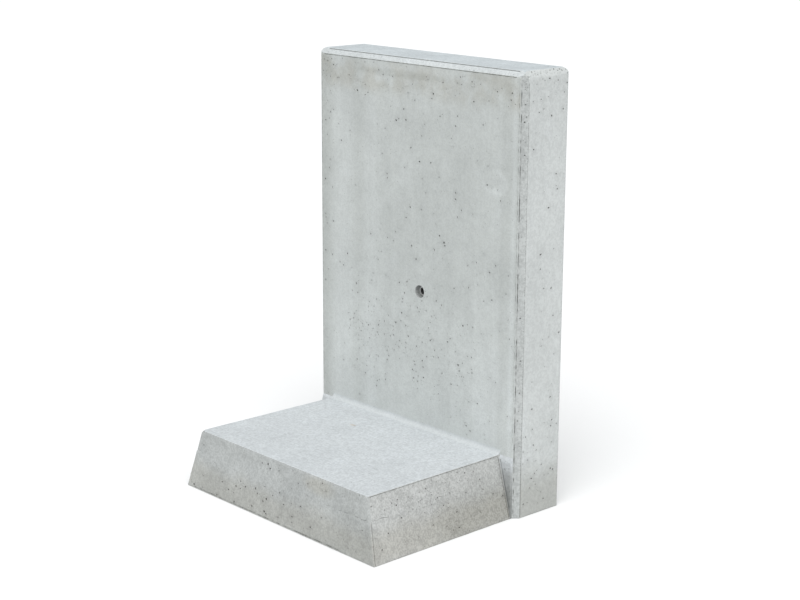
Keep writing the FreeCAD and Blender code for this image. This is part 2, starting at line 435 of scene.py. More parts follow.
class Skin:
    """A closed mesh of triangles, put together from panels that share their edge points."""

    EDGE_STEP = 4 * MM
    ROWS = (1.6 * MM, 5.0 * MM)
    HOLE_SIDES = 40
    PLANE_UNIT = 1000.0
    SHARP_COSINE = 0.93

    def __init__(self, rng: random.Random) -> None:
        """Start an empty skin.

        Args:
            rng: The source of chance.
        """
        self.rng = rng
        self.points: list[Vector] = []
        self.shade: list[float] = []
        self.rim: list[float] = []
        self.triangles: list[tuple[int, int, int]] = []
        self.surfaces: list[Surface] = []
        self.known: dict[tuple[int, int, int], int] = {}
        self.border: dict[tuple[int, int], list[Panel]] = {}

    def add_point(self, place: Vector, shade: float = 0.0) -> int:
        """Add a point of its own.

        Args:
            place: Where it is.
            shade: How deep in shadow and dirt it is, from 0 to 1.

        Returns:
            Its number.
        """
        self.points.append(place.copy())
        self.shade.append(shade)
        self.rim.append(0.0)
        return len(self.points) - 1

    def shared_point(self, place: Vector) -> int:
        """Find the edge point at a place, or add it.

        Args:
            place: Where it is.

        Returns:
            Its number.
        """
        key = tuple(round(c * 1e6) for c in place)
        if key not in self.known:
            self.known[key] = self.add_point(place)
        return self.known[key]

    def edge_run(self, a: Vector, b: Vector) -> list[Vector]:
        """Divide an edge in the same places whichever way round it is walked.

        Args:
            a: The corner where the walk starts.
            b: The corner where it ends, which isn't included.

        Returns:
            The points of the walk.
        """
        swapped = tuple(b) < tuple(a)
        start, end = (b, a) if swapped else (a, b)
        count = max(1, round((end - start).length / self.EDGE_STEP))
        run = [start.lerp(end, i / count) for i in range(count + 1)]
        if swapped:
            run.reverse()
        return run[:-1]

    def hole_loop(self, panel: Panel) -> list[Vector]:
        """Give the points round a panel's hole.

        Args:
            panel: The panel.

        Returns:
            The points, anticlockwise from outside.
        """
        centre, radius = panel.hole
        across, up = panel.u_axis, panel.v_axis
        rays = circle(self.HOLE_SIDES)
        return [centre + across * (radius * p.x) + up * (radius * p.z) for p in rays]

    def inner_points(self, panel: Panel, runs: Sequence[Sequence[Vector]]) -> np.ndarray:
        """Choose the plain points inside a panel: rows along its edges, then a loose grid.

        Args:
            panel: The panel to fill.
            runs: The points along each of its edges.

        Returns:
            The places, one row each.
        """
        chosen = []
        for row in self.ROWS:
            candidates = []
            for run, (a, b) in zip(runs, pairs_round(panel.corners)):
                inward = panel.normal.cross(b - a).normalized()
                candidates += [panel.flat(p + inward * row + (b - a).normalized() * row) for p in run]
            places = np.array(candidates)
            chosen.append(places[panel.edge_gap(places) > row * 0.93])
        low, high = panel.outline.min(axis=0), panel.outline.max(axis=0)
        size = panel.grid
        candidates = []
        for i in range(int((high[0] - low[0]) / size) + 1):
            for j in range(int((high[1] - low[1]) / size) + 1):
                jitter = (self.rng.uniform(-0.3, 0.3), self.rng.uniform(-0.3, 0.3))
                offset = 0.5 * (j % 2)
                candidates.append(
                    (low[0] + (i + offset + jitter[0]) * size, low[1] + (j + jitter[1]) * size)
                )
        places = np.array(candidates)
        chosen.append(places[panel.edge_gap(places) > self.ROWS[-1] + 0.45 * size])
        return np.concatenate(chosen)

    def add_panel(self, panel: Panel) -> None:
        """Divide a panel into triangles, with its features, and add them.

        Args:
            panel: The panel to add.
        """
        runs = [self.edge_run(a, b) for a, b in pairs_round(panel.corners)]
        loop = [self.shared_point(p) for run in runs for p in run]
        for a, b in pairs_round(loop):
            self.border.setdefault((min(a, b), max(a, b)), []).append(panel)
        numbers = list(loop)
        flat = [panel.flat(self.points[i]) for i in loop]
        fixed = [(i, (i + 1) % len(loop)) for i in range(len(loop))]
        if panel.hole:
            ring = [self.shared_point(p) for p in self.hole_loop(panel)]
            first = len(flat)
            fixed += [(first + i, first + (i + 1) % len(ring)) for i in range(len(ring))]
            numbers += ring
            flat += [panel.flat(self.points[i]) for i in ring]

        plain = self.inner_points(panel, runs)
        for feature in panel.features:
            plain = plain[~feature.keep_out(plain)]
        spots = [FeaturePoint(u, v, 0.0, 0.0) for u, v in plain]
        for feature in panel.features:
            spots += feature.points()
        gaps = panel.edge_gap(np.array([(s.u, s.v) for s in spots])) if spots else []
        for spot, gap in zip(spots, gaps):
            if gap < 0.25 * MM:
                continue
            level = panel.solid(spot.u, spot.v, 0.0)
            swell = 0.5 + 0.5 * noise.noise(level / panel.wave_length)
            fade = min(1.0, gap / (25 * MM))
            depth = spot.depth + panel.waviness * swell * fade
            numbers.append(self.add_point(level - panel.normal * depth, spot.shade))
            flat.append((spot.u, spot.v))

        scaled = [Vector(place) * self.PLANE_UNIT for place in flat]
        _, _, faces, origins, _, _ = delaunay_2d_cdt(scaled, fixed, [], 0, 1e-5)
        corners_of = np.array([[flat[origins[i][0]] for i in face] for face in faces])
        kept = panel.edge_gap(corners_of.mean(axis=1)) > 0.002 * MM
        for face, keep in zip(faces, kept):
            if keep:
                self.add_triangle([numbers[origins[i][0]] for i in face], panel.surface, panel.normal)

    def add_triangle(self, numbers: Sequence[int], surface: Surface, outward: Vector) -> None:
        """Add one triangle that faces outward.

        Args:
            numbers: The numbers of its points.
            surface: The kind of surface it shows.
            outward: Any direction that leaves the concrete through it.
        """
        a, b, c = (self.points[i] for i in numbers)
        if (b - a).cross(c - a).dot(outward) < 0:
            numbers = numbers[::-1]
        self.triangles.append(tuple(numbers))
        self.surfaces.append(surface)

    def add_strip(self, near: Sequence[int], far: Sequence[int], surface: Surface) -> None:
        """Join two rings of as many points, both anticlockwise seen from the hole's open end.

        Args:
            near: The ring nearer to the open end.
            far: The ring further in.
            surface: The kind of surface they show.
        """
        count = len(near)
        for k in range(count):
            a, b, c, d = near[k], near[(k + 1) % count], far[(k + 1) % count], far[k]
            self.triangles += [(a, b, c), (a, c, d)]
            self.surfaces += [surface, surface]

    def wear_edges(self, wear: Wear) -> None:
        """Rub back and chip the outer arrises, and leave inner corners as cast.

        Args:
            wear: How far and how often.
        """
        lean: dict[int, Vector] = {}
        panels_at: dict[int, set[int]] = {}
        quiet: set[int] = set()
        sharp: set[int] = set()
        for (a, b), panels in self.border.items():
            for panel in panels:
                for i in (a, b):
                    if id(panel) not in panels_at.setdefault(i, set()):
                        panels_at[i].add(id(panel))
                        lean[i] = lean.get(i, Vector()) + panel.normal
            if len(panels) != 2:
                quiet |= {a, b}
                continue
            one, other = panels
            if one.normal.dot(other.normal) > self.SHARP_COSINE:
                continue
            hollow = (other.middle - self.points[a]).dot(one.normal) > 0.2 * MM
            (quiet if hollow else sharp).update((a, b))
        for i in sorted(sharp - quiet):
            place = self.points[i].copy()
            rub = 0.5 + 0.5 * noise.noise(place * 45)
            spike = 0.5 + 0.5 * noise.noise(place * 170 + Vector((9.0, 0.0, 0.0)))
            chip = max(0.0, spike - (1 - wear.chip_share)) / wear.chip_share
            amount = wear.rub * (0.3 + 0.7 * rub) + wear.chip * min(1.0, chip * 2)
            if len(panels_at[i]) > 2:
                amount += wear.corner if place.z > wear.seated else 0.0
            self.points[i] = place - lean[i].normalized() * amount
            # rim feeds the arris attribute, lightened as wear and as a painted highlight; a chip is
            # darkened as painted shade in its hollow.
            self.rim[i] = min(1.0, amount / (wear.rub + wear.chip))
            self.shade[i] = max(self.shade[i], 0.35 * min(1.0, chip * 2))

    def open_edges(self) -> int:
        """Count the edges that don't have a triangle on each side.

        Returns:
            How many there are.
        """
        uses: dict[tuple[int, int], int] = {}
        for a, b, c in self.triangles:
            for i, j in ((a, b), (b, c), (c, a)):
                key = (min(i, j), max(i, j))
                uses[key] = uses.get(key, 0) + 1
        return sum(1 for n in uses.values() if n != 2)

    def make_object(self, name: str, finishes: dict[Surface, bpy.types.Material]) -> bpy.types.Object:
        """Make the mesh object, with a material slot for each surface.

        Args:
            name: The object's name.
            finishes: The material of each surface.

        Returns:
            The new object.
        """
        mesh = bpy.data.meshes.new(name)
        mesh.from_pydata([tuple(p) for p in self.points], [], self.triangles)
        order = [s for s in Surface if s in finishes]
        for surface in order:
            mesh.materials.append(finishes[surface])
        slots = {surface: k for k, surface in enumerate(order)}
        mesh.polygons.foreach_set("material_index", [slots[s] for s in self.surfaces])
        mesh.polygons.foreach_set("use_smooth", [True] * len(self.triangles))
        # pit carries the painted shade, with some dirt, of pores, grooves, chips and the recess; arris
        # carries how far each arris is worn.
        for label, values in (("pit", self.shade), ("arris", self.rim)):
            layer = mesh.attributes.new(label, "FLOAT", "POINT")
            layer.data.foreach_set("value", values)
        mesh.set_sharp_from_angle(angle=math.radians(28))
        mesh.update()
        return add_object(name, mesh)


# ---- Shared effects ----


class Painter:
    """Adds nodes to one node tree and joins them."""

    def __init__(self, tree: bpy.types.NodeTree) -> None:
        """Work on a tree."""
        self.tree = tree

    def node(self, kind: str, **settings: object) -> bpy.types.Node:
        """Add a node with its settings.

        Args:
            kind: The kind of node.
            **settings: Its settings by name.

        Returns:
            The new node.
        """
        made = self.tree.nodes.new(kind)
        for name, value in settings.items():
            setattr(made, name, value)
        return made

    @staticmethod
    def start_material(
        name: str,
    ) -> tuple[bpy.types.Material, "Painter", bpy.types.Node, bpy.types.NodeSocket]:
        """Start a material.

        Args:
            name: The material's name.

        Returns:
            The material, a painter for it, its shader, and the place on the object.
        """
        material = bpy.data.materials.new(name)
        material.use_nodes = True
        paint = Painter(material.node_tree)
        place = paint.node("ShaderNodeTexCoord").outputs["Object"]
        return material, paint, material.node_tree.nodes["Principled BSDF"], place

    def emboss(self, shader: bpy.types.Node, height: object, strength: float, relief: float) -> None:
        """Raise a shader's surface.

        Args:
            shader: The shader.
            height: The height, from 0 to 1.
            strength: How much of it shows.
            relief: What a height of 1 measures.
        """
        bump = self.node("ShaderNodeBump")
        bump.inputs["Strength"].default_value = strength
        bump.inputs["Distance"].default_value = relief
        self.feed(bump.inputs["Height"], height)
        self.feed(shader.inputs["Normal"], bump.outputs["Normal"])

    def feed(self, socket: bpy.types.NodeSocket, value: object) -> None:
        """Join another node's output to a socket, or set the socket to a plain value.

        Args:
            socket: The socket.
            value: The output or the value.
        """
        if isinstance(value, bpy.types.NodeSocket):
            self.tree.links.new(value, socket)
        else:
            socket.default_value = value

    def math(self, operation: str, *values: object) -> bpy.types.NodeSocket:
        """Do one sum on numbers.

        Args:
            operation: Which sum.
            *values: What it works on.

        Returns:
            The result.
        """
        made = self.node("ShaderNodeMath", operation=operation)
        for socket, value in zip(made.inputs, values):
            self.feed(socket, value)
        return made.outputs[0]

    def vector(self, operation: str, *values: object) -> bpy.types.Node:
        """Do one sum on vectors.

        Args:
            operation: Which sum.
            *values: What it works on.

        Returns:
            The node, with its results.
        """
        made = self.node("ShaderNodeVectorMath", operation=operation)
        for socket, value in zip(made.inputs, values):
            self.feed(socket, value)
        return made

    def ramp(self, value: object, low: object, high: object) -> bpy.types.NodeSocket:
        """Turn low to 0 and high to 1, smoothly and no further.

        Args:
            value: What to turn.
            low: What becomes 0.
            high: What becomes 1.

        Returns:
            The result.
        """
        made = self.node("ShaderNodeMapRange", interpolation_type="SMOOTHSTEP")
        for name, given in (("Value", value), ("From Min", low), ("From Max", high)):
            self.feed(made.inputs[name], given)
        return made.outputs["Result"]

    def noise(self, place: object, scale: object, detail: float) -> bpy.types.NodeSocket:
        """Sample cloudy noise.

        Args:
            place: Where.
            scale: How many clouds there are to a metre.
            detail: How finely they break up.

        Returns:
            The noise, from 0 to 1.
        """
        made = self.node("ShaderNodeTexNoise")
        self.feed(made.inputs["Vector"], place)
        self.feed(made.inputs["Scale"], scale)
        made.inputs["Detail"].default_value = detail
        made.inputs["Roughness"].default_value = 0.58
        return made.outputs["Fac"]

    def tint(self, colour: object, over: Colour, amount: object) -> bpy.types.NodeSocket:
        """Multiply a colour by another, as far as an amount says.

        Args:
            colour: The first colour.
            over: The colour that multiplies it.
            amount: How far, from 0 to 1.

        Returns:
            The new colour.
        """
        made = self.node("ShaderNodeMix", data_type="RGBA", blend_type="MULTIPLY")
        self.feed(made.inputs["Factor"], amount)
        self.feed(made.inputs[6], colour)
        self.feed(made.inputs[7], (*over, 1.0))
        return made.outputs[2]


class Effect(Enum):
    """The effects that several finishes share, by the names of their node groups."""

    CLOUDS = "cement_clouds"
    STREAKS = "run_streaks"
    GRAIN = "sand_grain"
    PINHOLES = "pinholes"
    BAND = "ragged_band"
    PATCH = "soft_patch"


class EffectLibrary:
    """Builds each shared effect once, as a shader node group."""

    NUMBER = "NodeSocketFloat"
    PLACE = "NodeSocketVector"

    def __init__(self) -> None:
        """Build every group."""
        builders = {
            Effect.CLOUDS: self.clouds,
            Effect.STREAKS: self.streaks,
            Effect.GRAIN: self.grain,
            Effect.PINHOLES: self.pinholes,
            Effect.BAND: self.band,
            Effect.PATCH: self.patch,
        }
        self.groups = {effect: build(effect.value) for effect, build in builders.items()}

    def start(
        self, name: str, inputs: dict[str, str], outputs: Iterable[str]
    ) -> tuple[bpy.types.NodeTree, Painter, dict[str, bpy.types.NodeSocket], bpy.types.Node]:
        """Start a group with its sockets.

        Args:
            name: The group's name.
            inputs: Each input's name and kind of socket.
            outputs: The outputs' names, all numbers.

        Returns:
            The group, a painter for it, its inputs by name, and its output node.
        """
        tree = bpy.data.node_groups.new(name, "ShaderNodeTree")
        for label, kind in inputs.items():
            tree.interface.new_socket(name=label, in_out="INPUT", socket_type=kind)
        for label in outputs:
            tree.interface.new_socket(name=label, in_out="OUTPUT", socket_type=self.NUMBER)
        painter = Painter(tree)
        into = painter.node("NodeGroupInput")
        out = painter.node("NodeGroupOutput")
        return tree, painter, {s.name: s for s in into.outputs if s.name}, out

    def clouds(self, name: str) -> bpy.types.NodeTree:
        """Build cloudy patches of a given size, from 0 to 1.

        Args:
            name: The group's name.

        Returns:
            The group.
        """
        kinds = {"Place": self.PLACE, "Size": self.NUMBER, "Low": self.NUMBER, "High": self.NUMBER}
        tree, paint, given, out = self.start(name, kinds, ["Mask"])
        scale = paint.math("DIVIDE", 1.0, given["Size"])
        clouds = paint.noise(given["Place"], scale, 4.0)
        paint.feed(out.inputs["Mask"], paint.ramp(clouds, given["Low"], given["High"]))
        return tree

    def streaks(self, name: str) -> bpy.types.NodeTree:
        """Build upright streaks of a given width and length, from 0 to 1.

        Args:
            name: The group's name.

        Returns:
            The group.
        """
        kinds = {"Place": self.PLACE, "Width": self.NUMBER, "Length": self.NUMBER}
        tree, paint, given, out = self.start(name, kinds, ["Mask"])
        across = paint.math("DIVIDE", 1.0, given["Width"])
        along = paint.math("DIVIDE", 1.0, given["Length"])
        stretch = paint.node("ShaderNodeCombineXYZ")
        for socket, value in zip(stretch.inputs, (across, across, along)):
            paint.feed(socket, value)
        place = paint.vector("MULTIPLY", given["Place"], stretch.outputs[0]).outputs[0]
        streaks = paint.noise(place, 1.0, 3.0)
        paint.feed(out.inputs["Mask"], paint.ramp(streaks, 0.36, 0.66))
        return tree

    def grain(self, name: str) -> bpy.types.NodeTree:
        """Build sand and cement grain of a given size: its tone, and its height.

        Args:
            name: The group's name.

        Returns:
            The group.
        """
        kinds = {"Place": self.PLACE, "Size": self.NUMBER}
        tree, paint, given, out = self.start(name, kinds, ["Tone", "Height"])
        fine = paint.noise(given["Place"], paint.math("DIVIDE", 1.0, given["Size"]), 2.0)
        coarse = paint.noise(given["Place"], paint.math("DIVIDE", 0.42, given["Size"]), 2.0)
        shares = paint.math("MULTIPLY", fine, 0.65), paint.math("MULTIPLY", coarse, 0.35)
        both = paint.math("ADD", *shares)
        paint.feed(out.inputs["Tone"], paint.ramp(both, 0.4, 0.6))
        paint.feed(out.inputs["Height"], both)
        return tree

    def pinholes(self, name: str) -> bpy.types.NodeTree:
        """Build scattered dark pinholes: 1 inside them and 0 between.

        Args:
            name: The group's name.

        Returns:
            The group.
        """
        kinds = {
            "Place": self.PLACE,
            "Spacing": self.NUMBER,
            "Radius": self.NUMBER,
            "Share": self.NUMBER,
        }
        tree, paint, given, out = self.start(name, kinds, ["Mask"])
        cells = paint.node("ShaderNodeTexVoronoi", feature="F1")
        paint.feed(cells.inputs["Vector"], given["Place"])
        paint.feed(cells.inputs["Scale"], paint.math("DIVIDE", 1.0, given["Spacing"]))
        chance = paint.node("ShaderNodeSeparateXYZ")
        paint.feed(chance.inputs[0], cells.outputs["Color"])
        reach = paint.math("DIVIDE", given["Radius"], given["Spacing"])
        inside = paint.ramp(cells.outputs["Distance"], reach, paint.math("MULTIPLY", reach, 0.45))
        chosen = paint.math("LESS_THAN", chance.outputs[0], given["Share"])
        paint.feed(out.inputs["Mask"], paint.math("MULTIPLY", inside, chosen))
        return tree

    def band(self, name: str) -> bpy.types.NodeTree:
        """Build a band with ragged edges, about one value of a position: 1 inside it.

        Args:
            name: The group's name.

        Returns:
            The group.
        """
        kinds = {
            "Place": self.PLACE,
            "Position": self.NUMBER,
            "Centre": self.NUMBER,
            "Half Width": self.NUMBER,
            "Softness": self.NUMBER,
            "Raggedness": self.NUMBER,
        }
        tree, paint, given, out = self.start(name, kinds, ["Mask"])
        wander = paint.math("SUBTRACT", paint.noise(given["Place"], 16.0, 4.0), 0.5)
        wander = paint.math("MULTIPLY", wander, given["Raggedness"])
        offset = paint.math("SUBTRACT", given["Position"], given["Centre"])
        gap = paint.math("ABSOLUTE", paint.math("ADD", offset, wander))
        outer = paint.math("ADD", given["Half Width"], given["Softness"])
        inner = paint.math("SUBTRACT", given["Half Width"], given["Softness"])
        paint.feed(out.inputs["Mask"], paint.ramp(gap, outer, inner))
        return tree

    def patch(self, name: str) -> bpy.types.NodeTree:
        """Build a soft oval patch about a point: 1 in its middle.

        Args:
            name: The group's name.

        Returns:
            The group.
        """
        kinds = {
            "Place": self.PLACE,
            "Centre": self.PLACE,
            "Radii": self.PLACE,
            "Softness": self.NUMBER,
            "Raggedness": self.NUMBER,
        }
        tree, paint, given, out = self.start(name, kinds, ["Mask"])
        offset = paint.vector("SUBTRACT", given["Place"], given["Centre"]).outputs[0]
        share = paint.vector("DIVIDE", offset, given["Radii"]).outputs[0]
        gap = paint.vector("LENGTH", share).outputs["Value"]
        wander = paint.math("SUBTRACT", paint.noise(given["Place"], 34.0, 4.0), 0.5)
        gap = paint.math("ADD", gap, paint.math("MULTIPLY", wander, given["Raggedness"]))
        outer = paint.math("ADD", 1.0, given["Softness"])
        inner = paint.math("SUBTRACT", 1.0, given["Softness"])
        paint.feed(out.inputs["Mask"], paint.ramp(gap, outer, inner))
        return tree

    def use(self, paint: Painter, effect: Effect, **values: object) -> bpy.types.Node:
        """Place an effect in a material.

        Args:
            paint: The painter of the material's tree.
            effect: Which effect.
            **values: Its inputs, with an underscore for each space in their names.

        Returns:
            The group node.
        """
        made = paint.node("ShaderNodeGroup", node_tree=self.groups[effect])
        for name, value in values.items():
            paint.feed(made.inputs[name.replace("_", " ").title()], value)
        return made


# ---- Finishes ----


@dataclass(frozen=True)
class BandTint:
    """A stained or bleached band across a surface, or a band of painted light or shade.

    Attributes:
        axis: The axis that the band's place is measured on.
        centre: The middle of the band.
        half_width: Half its width.
        colour: What it multiplies the concrete's colour by.
        amount: How strong it is, from 0 to 1.
        softness: How gradual its edges are.
        raggedness: How far its edges wander.
        broken: Whether clouds break it up.
    """

    axis: Axis
    centre: float
    half_width: float
    colour: Colour
    amount: float
    softness: float = 8 * MM
    raggedness: float = 20 * MM
    broken: bool = False

    def mask(self, paint: Painter, effects: EffectLibrary, place: bpy.types.NodeSocket) -> object:
        """Make the nodes that give the band's mask.

        Args:
            paint: The painter of the material's tree.
            effects: The shared effects.
            place: The place on the object.

        Returns:
            The mask, from 0 to 1.
        """
        parts = paint.node("ShaderNodeSeparateXYZ")
        paint.feed(parts.inputs[0], place)
        band = effects.use(
            paint,
            Effect.BAND,
            place=place,
            position=parts.outputs[self.axis.value],
            centre=self.centre,
            half_width=self.half_width,
            softness=self.softness,
            raggedness=self.raggedness,
        ).outputs["Mask"]
        if self.broken:
            clouds = effects.use(paint, Effect.CLOUDS, place=place, size=0.05, low=0.35, high=0.62)
            band = paint.math("MULTIPLY", band, clouds.outputs["Mask"])
        return band


@dataclass(frozen=True)
class PatchTint:
    """A stained or bleached oval patch.

    Attributes:
        centre: Its middle.
        radii: Its reach along each axis.
        colour: What it multiplies the concrete's colour by.
        amount: How strong it is, from 0 to 1.
        softness: How gradual its edge is, as a share of its reach.
        raggedness: How far its edge wanders, as a share of its reach.
    """

    centre: tuple[float, float, float]
    radii: tuple[float, float, float]
    colour: Colour
    amount: float
    softness: float = 0.5
    raggedness: float = 0.6

    def mask(self, paint: Painter, effects: EffectLibrary, place: bpy.types.NodeSocket) -> object:
        """Make the nodes that give the patch's mask.

        Args:
            paint: The painter of the material's tree.
            effects: The shared effects.
            place: The place on the object.

        Returns:
            The mask, from 0 to 1.
        """
        return effects.use(
            paint,
            Effect.PATCH,
            place=place,
            centre=self.centre,
            radii=self.radii,
            softness=self.softness,
            raggedness=self.raggedness,
        ).outputs["Mask"]


@dataclass(frozen=True)
class ConcreteFinish:
    """The look of one surface of the concrete.

    Attributes:
        colour: The colour of its cement paste.
        clouds: How much darker its large clouds are.
        cloud_size: How large they are.
        streaks: How much darker its upright streaks are.
        streak_width: How wide they are.
        grain: How much darker its sand grain is.
        grain_size: How large the grain is.
        pinholes: How many of the places for a pinhole hold one, from 0 to 1.
        float_marks: How much darker the strokes of a float are.
        tints: Its stained and bleached places, and its bands of painted light and shade.
        roughness: Its mean roughness.
        relief: The height of its grain.
        arris_wear_and_highlight_gain: How much lighter its rubbed arrises are, as wear and as a painted
            highlight.
    """

    colour: Colour
    clouds: float = 0.07
    cloud_size: float = 0.11
    streaks: float = 0.0
    streak_width: float = 16 * MM
    grain: float = 0.13
    grain_size: float = 3.6 * MM
    pinholes: float = 0.16
    float_marks: float = 0.0
    tints: tuple[BandTint | PatchTint, ...] = ()
    roughness: float = 0.88
    relief: float = 0.22 * MM
    arris_wear_and_highlight_gain: float = 1.05

    PIT_SHADE_AND_DIRT_COLOUR = (0.3, 0.3, 0.28)
    FILM_COLOUR = (1.05, 1.05, 1.06)
    FLOAT_TURN = (math.radians(90), 0.0, math.radians(-25))

    def make(self, name: str, effects: EffectLibrary) -> bpy.types.Material:
        """Build the material.

        Args:
            name: The material's name.
            effects: The shared effects.

        Returns:
            The new material.
        """
        material, paint, shader, place = Painter.start_material(name)

        colour: object = (*self.colour, 1.0)
        size = self.cloud_size
        large = effects.use(paint, Effect.CLOUDS, place=place, size=size, low=0.36, high=0.64)
        colour = paint.tint(colour, (1 - self.clouds,) * 3, large.outputs["Mask"])
        small = effects.use(paint, Effect.CLOUDS, place=place, size=size / 6, low=0.4, high=0.7)
        colour = paint.tint(colour, (1 - 0.45 * self.clouds,) * 3, small.outputs["Mask"])
        if self.streaks:
            for width, length, share in ((1.0, 0.45, 1.0), (0.3, 0.16, 0.5)):
                streak = effects.use(
                    paint, Effect.STREAKS, place=place, width=self.streak_width * width, length=length
                )
                colour = paint.tint(colour, (1 - self.streaks * share,) * 3, streak.outputs["Mask"])
        for tint in self.tints:
            amount = paint.math("MULTIPLY", tint.mask(paint, effects, place), tint.amount)
            colour = paint.tint(colour, tint.colour, amount)
        film = effects.use(paint, Effect.CLOUDS, place=place, size=size / 2.4, low=0.52, high=0.72)
        colour = paint.tint(colour, self.FILM_COLOUR, paint.math("MULTIPLY", film.outputs["Mask"], 0.6))

        grain = effects.use(paint, Effect.GRAIN, place=place, size=self.grain_size)
        dark_grain = paint.math("SUBTRACT", 1.0, grain.outputs["Tone"])
        colour = paint.tint(colour, (1 - self.grain,) * 3, dark_grain)
        holes = effects.use(
            paint,
            Effect.PINHOLES,
            place=place,
            spacing=6 * MM,
            radius=1.1 * MM,
            share=self.pinholes,
        )
        # The pinholes are darkened: painted shade inside them, with some dirt.
        colour = paint.tint(colour, (0.66, 0.66, 0.64), holes.outputs["Mask"])
        height = paint.math("SUBTRACT", grain.outputs["Height"], holes.outputs["Mask"])
        if self.float_marks:
            turned = paint.node("ShaderNodeVectorRotate", rotation_type="EULER_XYZ")
            paint.feed(turned.inputs["Vector"], place)
            turned.inputs["Rotation"].default_value = self.FLOAT_TURN
            marks = effects.use(
                paint, Effect.STREAKS, place=turned.outputs[0], width=3.2 * MM, length=15 * MM
            ).outputs["Mask"]
            colour = paint.tint(colour, (1 - self.float_marks,) * 3, marks)
            height = paint.math("SUBTRACT", height, paint.math("MULTIPLY", marks, 0.35))

        # Rubbed arrises are lightened: partly wear, partly a painted highlight along the edge.
        arris = paint.node("ShaderNodeAttribute", attribute_name="arris").outputs["Fac"]
        colour = paint.tint(colour, (self.arris_wear_and_highlight_gain,) * 3, arris)
        # The pit attribute darkens pores, grooves, chips and the recess: painted shade in these
        # hollows, with some dirt.
        pit = paint.node("ShaderNodeAttribute", attribute_name="pit").outputs["Fac"]
        colour = paint.tint(colour, self.PIT_SHADE_AND_DIRT_COLOUR, pit)
        paint.feed(shader.inputs["Base Color"], colour)

        rough = paint.math("MULTIPLY", large.outputs["Mask"], 0.07)
        paint.feed(shader.inputs["Roughness"], paint.math("ADD", rough, self.roughness - 0.035))
        shader.inputs["Specular IOR Level"].default_value = 0.28
        paint.emboss(shader, height, 0.8, self.relief)
        return material


@dataclass(frozen=True)
class PieceFinish:
    """The look of a cast-in piece: a clean colour under patches of another.

    Attributes:
        clean: The colour of the bare piece.
        patch: The colour of its rust, oxide or dust.
        patch_size: How large the patches are.
        cover: The noise level that the patches start at: lower covers more.
        metallic: How metallic the bare piece is.
        clean_roughness: The roughness of the bare piece.
        patch_roughness: The roughness of the patches.
        relief: The height of its grain.
    """

    clean: Colour
    patch: Colour
    patch_size: float
    cover: float
    metallic: float
    clean_roughness: float
    patch_roughness: float
    relief: float

    def make(self, name: str, effects: EffectLibrary) -> bpy.types.Material:
        """Build the material.

        Args:
            name: The material's name.
            effects: The shared effects.

        Returns:
            The new material.
        """
        material, paint, shader, place = Painter.start_material(name)
        patches = effects.use(
            paint,
            Effect.CLOUDS,
            place=place,
            size=self.patch_size,
            low=self.cover,
            high=self.cover + 0.14,
        ).outputs["Mask"]
        grain = effects.use(paint, Effect.GRAIN, place=place, size=self.patch_size / 9)
        mixed = paint.node("ShaderNodeMix", data_type="RGBA")
        paint.feed(mixed.inputs["Factor"], patches)
        paint.feed(mixed.inputs[6], (*self.clean, 1.0))
        paint.feed(mixed.inputs[7], (*self.patch, 1.0))
        colour = paint.tint(mixed.outputs[2], (0.78, 0.76, 0.74), grain.outputs["Tone"])
        paint.feed(shader.inputs["Base Color"], colour)
        bare = paint.math("SUBTRACT", 1.0, patches)
        paint.feed(shader.inputs["Metallic"], paint.math("MULTIPLY", bare, self.metallic))
        gain = paint.math("MULTIPLY", patches, self.patch_roughness - self.clean_roughness)
        paint.feed(shader.inputs["Roughness"], paint.math("ADD", gain, self.clean_roughness))
        paint.emboss(shader, grain.outputs["Height"], 0.7, self.relief)
        return material


# ---- The casting ----


@dataclass
class Socket:
    """Where the lifting socket lies, and the concrete round its mouth.

    Attributes:
        mouth: The middle of the steel sleeve's open end.
        radius: The sleeve's outer radius.
        tail_y: How far back the sleeve reaches.
        recess_radius: The radius of the recess at the soil face.
        recess_draft: How much narrower the recess is at its bottom.
        clearance: The gap between the sleeve and its bed.
    """

    mouth: Vector
    radius: float
    tail_y: float
    recess_radius: float = 11.2 * MM
    recess_draft: float = 0.6 * MM
    clearance: float = 0.05 * MM

    @classmethod
    def from_frame(cls) -> "Socket":
        """Read the sleeve's place from the frame.

        Returns:
            The socket.
        """
        low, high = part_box("lifting_socket")
        mouth = Vector(((low.x + high.x) / 2, low.y, (low.z + high.z) / 2))
        return cls(mouth=mouth, radius=(high.x - low.x) / 2, tail_y=high.y)


